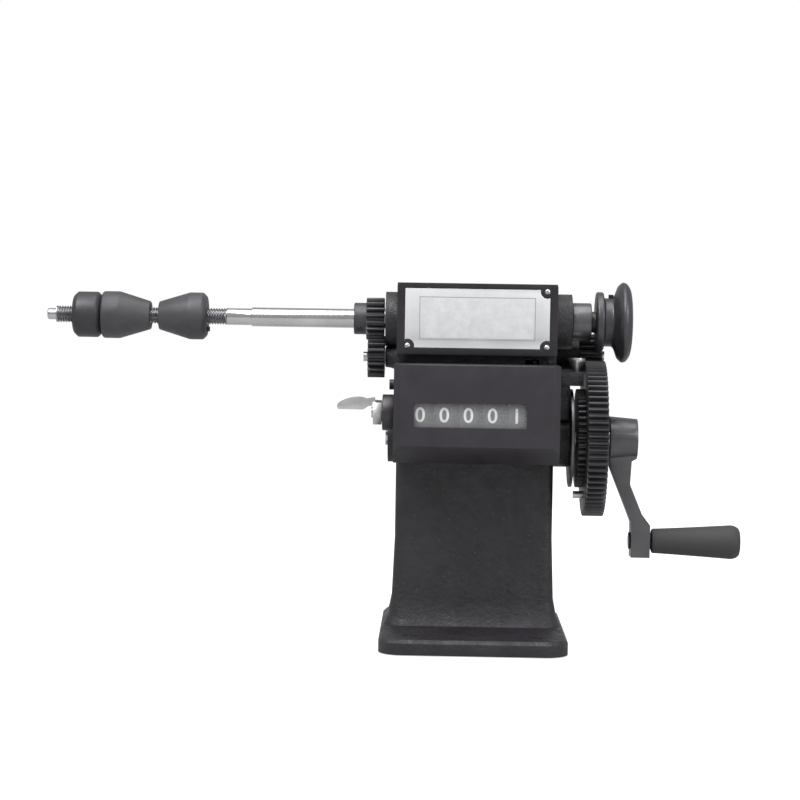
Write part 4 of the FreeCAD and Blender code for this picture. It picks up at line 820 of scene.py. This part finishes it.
@dataclass
class WindingSpindle:
    """Spindle with its thread, cones, nut, gears, collar and pulley.

    Attributes:
        axis: Axis of the spindle.
        thread_pitch: Pitch of the clamping thread.
        thread_depth: Depth of the thread.
    """

    axis: Axis
    thread_pitch: float = 1.25
    thread_depth: float = 0.72

    def build(self, phases: dict[str, float]) -> None:
        """Build every piece that turns with the spindle."""
        self._rod()
        self._cones_and_nut()
        self._pulley()
        low, high = box_of("spindle_collar")
        bore = 4.5
        self._ring("collar_turned", rounded([
            (low.x, bore), (high.x, bore), (high.x, 9.0), (low.x, 9.0)], 0.6), Body.SPINDLE,
            SATIN_STEEL, "spindle_collar")
        low, high = box_of("counter_gear")
        hub, hub_end = 7.5, low.x + 5.9
        gear = GearForm(18).solid(self.axis, (hub_end, high.x), phases["counter_gear"], [
            (high.x, 7.4), (high.x, bore), (low.x, bore), (low.x, hub - 0.4), (low.x + 0.4, hub),
            (hub_end, hub)])
        add_piece("counter_gear_cut", gear, Body.SPINDLE, Slot.DARK_STEEL, GEAR_STEEL,
                  "counter_gear")
        self._set_screws(low.x + 2.9)
        dress(GEAR_STEEL, "spindle_pinion")

    def _ring(self, name: str, profile: np.ndarray, body: Body, finish: Finish, node: str) -> None:
        """Turn a profile about the spindle's axis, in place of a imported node."""
        add_piece(name, lathe(profile, self.axis, 120), body, Slot.DARK_STEEL, finish, node,
                  sharp=30.0)

    def _rod(self) -> None:
        """Build the spindle: tip, cut thread, relief and ground rod."""
        low, high = box_of("spindle")
        start = low.x + 4.3
        end = start + 81.7
        shoulder = end + 11.7
        tip_radius, crest, relief, rod = 2.7, 4.0, 3.95, 4.5
        skin = helix_rod(start, end, crest, self.thread_pitch, self.thread_depth, self.axis)
        tip = rounded([
            (low.x, 0.0), (low.x, tip_radius - 0.4), (low.x + 0.5, tip_radius),
            (start, tip_radius), (start, crest)], 0.15, closed=False)
        body = rounded([
            (end, crest), (end, relief), (shoulder, relief), (shoulder, rod), (high.x, rod),
            (high.x, 0.0)], 0.2, closed=False)
        add_piece("spindle_ground", joined([
            lathe(profile, self.axis, 40, closed=False) for profile in (tip, body)]),
            Body.SPINDLE, Slot.BRIGHT_STEEL, BRIGHT_STEEL, "spindle")
        add_piece("spindle_thread", skin, Body.SPINDLE, Slot.BRIGHT_STEEL, THREAD_STEEL)

    def _cones_and_nut(self) -> None:
        """Build both cones and the lock nut, and dress the drive pin."""
        bore = 4.08
        small, large, land = 6.65, 11.2, 8.2
        low, high = box_of("outer_cone")
        self._ring("outer_cone_turned", rounded([
            (low.x, bore), (high.x, bore), (high.x, small), (low.x + land, large),
            (low.x + 0.8, large), (low.x, large - 0.7)], 0.7), Body.OUTER_CONE, CONE_STEEL,
            "outer_cone")
        low, high = box_of("inner_cone")
        self._ring("inner_cone_turned", rounded([
            (low.x, bore), (high.x, bore), (high.x, large - 1.9), (high.x - 1.9, large),
            (high.x - land, large), (low.x, small)], 0.6), Body.INNER_CONE, CONE_STEEL,
            "inner_cone")
        dress(SCREW_BLACK, "cone_pin")
        low, high = box_of("lock_nut")
        face, wide, chamfer = 8.9, 10.85, 2.0
        self._ring("lock_nut_turned", rounded([
            (low.x, bore), (high.x, bore), (high.x, face), (high.x - chamfer, wide),
            (low.x + chamfer, wide), (low.x, face)], 0.5), Body.LOCK_NUT, NUT_STEEL, "lock_nut")

    def _pulley(self) -> None:
        """Build the belt pulley with its rounded hand rim."""
        low, high = box_of("pulley")
        start = low.x + 2.3
        groove = start + 3.4
        rim = groove + 5.2
        bore, flange, neck = 4.5, 14.35, 11.5
        profile = rounded([
            (low.x, bore), (high.x - 1.5, bore), (high.x - 1.5, 5.0), (high.x, 5.4),
            (high.x, 13.5), (high.x - 0.6, 16.2), (high.x - 2.2, 18.6), (high.x - 4.2, 19.2),
            (rim + 1.6, 17.2), (rim + 0.2, 13.2), (rim - 0.8, neck), (groove + 0.6, neck),
            (groove, 12.4), (groove, flange), (start, flange), (start, 5.0), (low.x, 5.0)],
            0.9, steps=6)
        self._ring("pulley_turned", profile, Body.SPINDLE, DARK_STEEL, "pulley")

    def _set_screws(self, hub_x: float) -> None:
        """Build the set screws of the counter gear's hub and of the pulley."""
        slant = math.radians(222.0)
        outward = Vector((0.0, math.cos(slant), math.sin(slant)))
        place = Vector((hub_x, self.axis.y, self.axis.z)) + outward * 7.2
        hub = placed(socket_screw(1.4, 0.5), outward, place)
        upward = Vector((0, 0, 1))
        place = Vector((box_of("pulley")[0].x + 9.3, self.axis.y, self.axis.z)) + upward * 11.3
        pulley = placed(socket_screw(1.2, 1.9), upward, place)
        add_piece("spindle_set_screws", joined([hub, pulley]), Body.SPINDLE, Slot.DARK_STEEL,
                  SCREW_BLACK)


@dataclass
class CrankDrive:
    """Crank shaft with its gears, disc, arm, bolt and grip.

    Attributes:
        axis: Axis of the crank.
        grip_axis: Axis of the grip.
    """

    axis: Axis
    grip_axis: Axis

    def build(self, phases: dict[str, float]) -> None:
        """Build every piece of the crank."""
        low, high = box_of("drive_gear")
        bore, hub, rim, bevel = 4.85, 9.5, 30.15, 0.4
        web, edge = low.x + 5.0, high.x - bevel
        gear = GearForm(72).solid(self.axis, (low.x, high.x), phases["drive_gear"], [
            (high.x, rim + bevel), (edge, rim), (web + 0.5, rim), (web, rim - 0.5),
            (web, hub + 0.5), (web + 0.5, hub), (edge, hub), (high.x, hub - bevel),
            (high.x, bore), (low.x, bore)])
        add_piece("drive_gear_cut", gear, Body.CRANK, Slot.DARK_STEEL, GEAR_STEEL, "drive_gear")
        cut_gear("slow_gear", 45, self.axis, 0.0, bore, Body.CRANK)
        low, high = box_of("gear_disc")
        disc = rounded([(low.x, bore), (high.x, bore), (high.x, 23.4), (low.x, 23.4)], 0.3)
        add_piece("disc_turned", lathe(disc, self.axis, 160), Body.CRANK, Slot.BRIGHT_STEEL,
                  DISC_STEEL, "gear_disc", sharp=30.0)
        dress(SPRING_STEEL, "gear_pin")
        dress(BRIGHT_STEEL, "crank_shaft")
        soften("crank_arm", "arm_casting", Body.CRANK, Slot.DARK_STEEL, SATIN_STEEL, 0.5,
               segments=3)
        soften("grip_bolt", "grip_bolt_turned", Body.CRANK, Slot.DARK_STEEL, SCREW_BLACK, 0.25)
        self._grip()

    def _grip(self) -> None:
        """Build the grip.

        Its radius is small + (large - small) t^1.15 over the share t of its
        length, and a quarter of an ellipse closes the swell.
        """
        low, high = box_of("grip")
        small, large, end, bore = 5.9, 8.1, 5.4, 2.55
        start, swell, floor = low.x + 0.9, high.x - 4.4, high.x - 5.0
        along = np.linspace(0.0, 1.0, 24)
        side = np.column_stack([start + (swell - start) * along,
                                small + (large - small) * along ** 1.15])
        turn = np.linspace(0.0, math.pi / 2, 12)
        nose = np.column_stack([swell + (high.x - swell) * np.sin(turn),
                                end + (large - end) * np.cos(turn)])
        edge = [(low.x, bore), (low.x, small - 1.0), (low.x + 0.25, small - 0.35)]
        hollow = np.array([(floor, 0.0), (floor, bore), (low.x, bore)])
        outer = np.concatenate([edge, side, nose[1:], [(high.x, 0.0)]])
        surface = joined([lathe(profile, self.grip_axis, 96, closed=False)
                          for profile in (outer, hollow)])
        add_piece("grip_moulded", surface, Body.GRIP, Slot.GRIP_PLASTIC, GRIP_PLASTIC, "grip")


@dataclass
class LayshaftGears:
    """Layshaft behind the spindle, with its outer pinion."""

    axis: Axis

    def build(self, phases: dict[str, float]) -> None:
        """Build the pinion and dress the rest."""
        cut_gear("layshaft_pinion", 18, self.axis, phases["layshaft_pinion"], 3.5, Body.LAYSHAFT)
        dress(GEAR_STEEL, "layshaft_wheel")
        dress(BRIGHT_STEEL, "layshaft")


@dataclass
class Counter:
    """Turn counter: case, pane, number wheels, its input gear and reset key.

    Attributes:
        wheel_axis: Axis of the number wheels.
        input_axis: Axis of the counter's input shaft.
        digit_height: Height of a digit on the rim.
        digit_width: Width of a digit.
        shown: Digits that show at rest, units first.
    """

    wheel_axis: Axis
    input_axis: Axis
    digit_height: float = 6.9
    digit_width: float = 4.4
    shown: tuple[int, ...] = (1, 0, 0, 0, 0)

    def build(self, phases: dict[str, float]) -> None:
        """Build every piece of the counter."""
        soften("counter_case", "case_shell", Body.HOUSING, Slot.CASE_PAINT, CASE_PAINT, 0.6,
               segments=3)
        dress(CLEAR_PANE, "counter_window")
        dress(SPRING_STEEL, "counter_frame")
        dress(BRIGHT_STEEL, "idler_stud", "input_shaft", "number_shaft")
        dress(SCREW_BLACK, "transfer_shaft")
        dress(GEAR_STEEL, "input_pinion", "idler_cluster", "drive_cluster")
        dress(WHEEL_PLASTIC, *[f"transfer_pinion_{place}" for place in range(1, 5)])
        for place, digit in enumerate(self.shown, start=1):
            self._wheel(place, digit)
        cut_gear("input_gear", 18, self.input_axis, phases["input_gear"], 2.3, Body.COUNTER_INPUT)
        soften("reset_bearing", "reset_bearing_turned", Body.HOUSING, Slot.DARK_STEEL, DARK_STEEL,
               0.4)
        soften("reset_key", "reset_key_bent", Body.RESET, Slot.BRIGHT_STEEL, SPRING_STEEL,
               0.25)

    def _wheel(self, place: int, shown: int) -> None:
        """Dress one number wheel and print its ten digits.

        A digit's point (u, v) goes to (x + u, y + R cos a, z + R sin a), with
        a = A - v / R, where A is the digit's angle on the rim.
        """
        node = f"number_wheel_{place}"
        dress(WHEEL_PLASTIC, node)
        low, high = box_of(node)
        radius = (high.z - low.z) / 2 + 0.04
        middle = low.x + 3.7
        parts = []
        for digit in range(10):
            flat, faces = digit_outline(digit, self.digit_width, self.digit_height)
            angle = math.pi + math.radians(36.0) * (digit - shown)
            turn = angle - flat[:, 1] / radius
            parts.append((around(self.wheel_axis, middle + flat[:, 0], radius, turn), faces))
        vertices, faces = joined(parts)
        name = f"digits_{place}"
        mesh = bpy.data.meshes.new(name)
        mesh.from_pydata((vertices * MM).tolist(), [], faces)
        finish_piece(name, mesh, f"{node}_group", Slot.WHEEL_PLASTIC, DIGIT_WHITE)


def cut_in_levels(mesh: bpy.types.Mesh, count: int) -> None:
    """Cut a flat mesh at evenly spaced levels of its Y, so that it can be bent."""
    work = bmesh.new()
    work.from_mesh(mesh)
    heights = [vertex.co.y for vertex in work.verts]
    for level in np.linspace(min(heights), max(heights), count)[1:-1]:
        bmesh.ops.bisect_plane(work, geom=[*work.verts, *work.edges, *work.faces], dist=1e-6,
                               plane_co=(0.0, float(level), 0.0), plane_no=(0.0, 1.0, 0.0))
    work.to_mesh(mesh)
    work.free()


def digit_outline(digit: int, width: float, height: float) -> tuple[np.ndarray, list[list[int]]]:
    """Return a flat digit scaled to a width and height, centred on its box.

    Args:
        digit: The figure, 0 to 9.
        width: Width of a nought; the other figures keep their share of it.
        height: Height of every figure.

    Returns:
        Points (u, v) with v up, and faces as lists of indices.
    """
    curve = bpy.data.curves.new(f"figure_{digit}", "FONT")
    curve.body = str(digit)
    curve.align_x = "CENTER"
    curve.offset = 0.012
    curve.resolution_u = 6
    holder = bpy.data.objects.new(curve.name, curve)
    bpy.context.scene.collection.objects.link(holder)
    mesh = bpy.data.meshes.new_from_object(holder)
    cut_in_levels(mesh, 14)
    points = np.empty(len(mesh.vertices) * 3)
    mesh.vertices.foreach_get("co", points)
    points = points.reshape(-1, 3)[:, :2]
    faces = [list(polygon.vertices) for polygon in mesh.polygons]
    bpy.data.objects.remove(holder)
    bpy.data.curves.remove(curve)
    bpy.data.meshes.remove(mesh)
    middle = (points.max(axis=0) + points.min(axis=0)) / 2
    span = points.max(axis=0) - points.min(axis=0)
    nought_width = 0.464
    scale = np.array([width / nought_width, height / span[1]])
    return (points - middle) * scale, faces


@dataclass
class Studio:
    """Floor, lamps, surroundings and camera.

    Attributes:
        target: Point that the camera looks at.
        stand_point: Place of the camera from the target.
        picture_width: Width of the picture at the target's distance.
        roll: Turn of the camera about its line of sight, in degrees.
        glow: White that the floor shows to the eye besides its lit colour.
    """

    target: Vector
    stand_point: tuple[float, float, float] = (17.8 * MM, -1000.0 * MM, 47.8 * MM)
    picture_width: float = 379.9 * MM
    roll: float = 0.9
    glow: float = 0.75

    def build(self) -> None:
        """Build the studio."""
        self._surroundings()
        self._floor()
        self._lamp("key_lamp", (-0.5, -0.62, 1.1), 0.6, 11.4)
        self._lamp("fill_lamp", (0.7, -0.65, 0.6), 0.5, 4.4)
        self._lamp("top_lamp", (0.0, -0.12, 1.1), 0.8, 7.0)
        self._camera()

    def _surroundings(self) -> None:
        """Build a world that is white to the eye and through the pane, and softer as light."""
        world = bpy.data.worlds.new("white_room")
        bpy.context.scene.world = world
        world.use_nodes = True
        sky = world.node_tree.nodes["Background"]
        sky.inputs["Color"].default_value = (1.0, 1.0, 1.0, 1.0)
        wire_up(world.node_tree, {"sky": sky}, {
            "path": ("LightPath", {}, {}),
            "seen": ("Math", {"operation": "MAXIMUM"}, {}),
            "strength": ("MapRange", {}, {"To Min": 0.56, "To Max": 1.0})},
            "path.Is Camera Ray > seen.0, path.Is Transmission Ray > seen.1, "
            "seen.Value > strength.Value, strength.Result > sky.Strength")

    def _floor(self) -> None:
        """Build the pale floor, white to the eye where no shadow falls."""
        half = 3.0
        mesh = bpy.data.meshes.new("floor")
        mesh.from_pydata([(-half, -half, 0), (half, -half, 0), (half, half, 0), (-half, half, 0)],
                         [], [(0, 1, 2, 3)])
        mesh.materials.append(shaded("pale_floor", {
            "Base Color": (0.5, 0.5, 0.5, 1.0), "Roughness": 0.9, "Specular IOR Level": 0.0,
            "Emission Color": (1.0, 1.0, 1.0, 1.0)}, {
            "path": ("LightPath", {}, {}),
            "glow": ("Math", {"operation": "MULTIPLY"}, {1: self.glow})},
            "path.Is Camera Ray > glow.0, glow.Value > shader.Emission Strength"))
        floor = bpy.data.objects.new("floor", mesh)
        floor.location.z = -0.0005
        bpy.context.scene.collection.objects.link(floor)

    def _lamp(self, name: str, place: tuple[float, float, float], size: float,
              power: float) -> None:
        """Place a square soft lamp that faces the target."""
        light = bpy.data.lights.new(name, "AREA")
        light.size = size
        light.energy = power
        lamp = bpy.data.objects.new(name, light)
        lamp.location = place
        lamp.rotation_euler = (self.target - Vector(place)).to_track_quat("-Z", "Y").to_euler()
        bpy.context.scene.collection.objects.link(lamp)

    def _camera(self) -> None:
        """Place the camera in front, a little above the middle of the machine."""
        data = bpy.data.cameras.new("camera")
        data.sensor_width = 36.0
        offset = Vector(self.stand_point)
        data.lens = data.sensor_width * offset.length / self.picture_width
        data.clip_end = 20.0
        camera = bpy.data.objects.new("camera", data)
        camera.location = self.target + offset
        camera.rotation_euler = (self.target - camera.location).to_track_quat("-Z", "Y").to_euler()
        camera.rotation_euler.rotate_axis("Z", math.radians(self.roll))
        bpy.context.scene.collection.objects.link(camera)
        bpy.context.scene.camera = camera


def train_phases(axes: dict[str, Axis]) -> dict[str, float]:
    """Work out one tooth's angle of each visible gear, all in mesh.

    Args:
        axes: Axes of the crank, layshaft, spindle and counter input.

    Returns:
        Tooth angle of each gear by its node's name.
    """
    large, small = GearForm(72), GearForm(18)
    phases = {"drive_gear": math.pi / 2, "counter_gear": math.pi / 2}
    phases["layshaft_pinion"] = meshed_phase(
        phases["drive_gear"], large, small, axes["crank"].heading(axes["layshaft"]))
    phases["input_gear"] = meshed_phase(
        phases["counter_gear"], small, small, axes["spindle"].heading(axes["input"]))
    return phases


def main() -> None:
    """Build the machine's looks and the studio."""
    logging.basicConfig(level=logging.INFO, format="%(name)s: %(message)s")
    bpy.context.scene.view_settings.view_transform = "Standard"
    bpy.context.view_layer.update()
    axes = {name: Axis.of(f"{name}_turn") for name in ("crank", "layshaft", "spindle", "input")}
    phases = train_phases(axes)
    StandAndHead().build()
    WindingSpindle(axes["spindle"]).build(phases)
    CrankDrive(axes["crank"], Axis.of("grip_spin")).build(phases)
    LayshaftGears(axes["layshaft"]).build(phases)
    Counter(Axis.of("number_wheel_1_turn"), axes["input"]).build(phases)
    Studio(Vector((-35.8 * MM, 0.0, 112.8 * MM))).build()


if __name__ == "__main__":
    main()
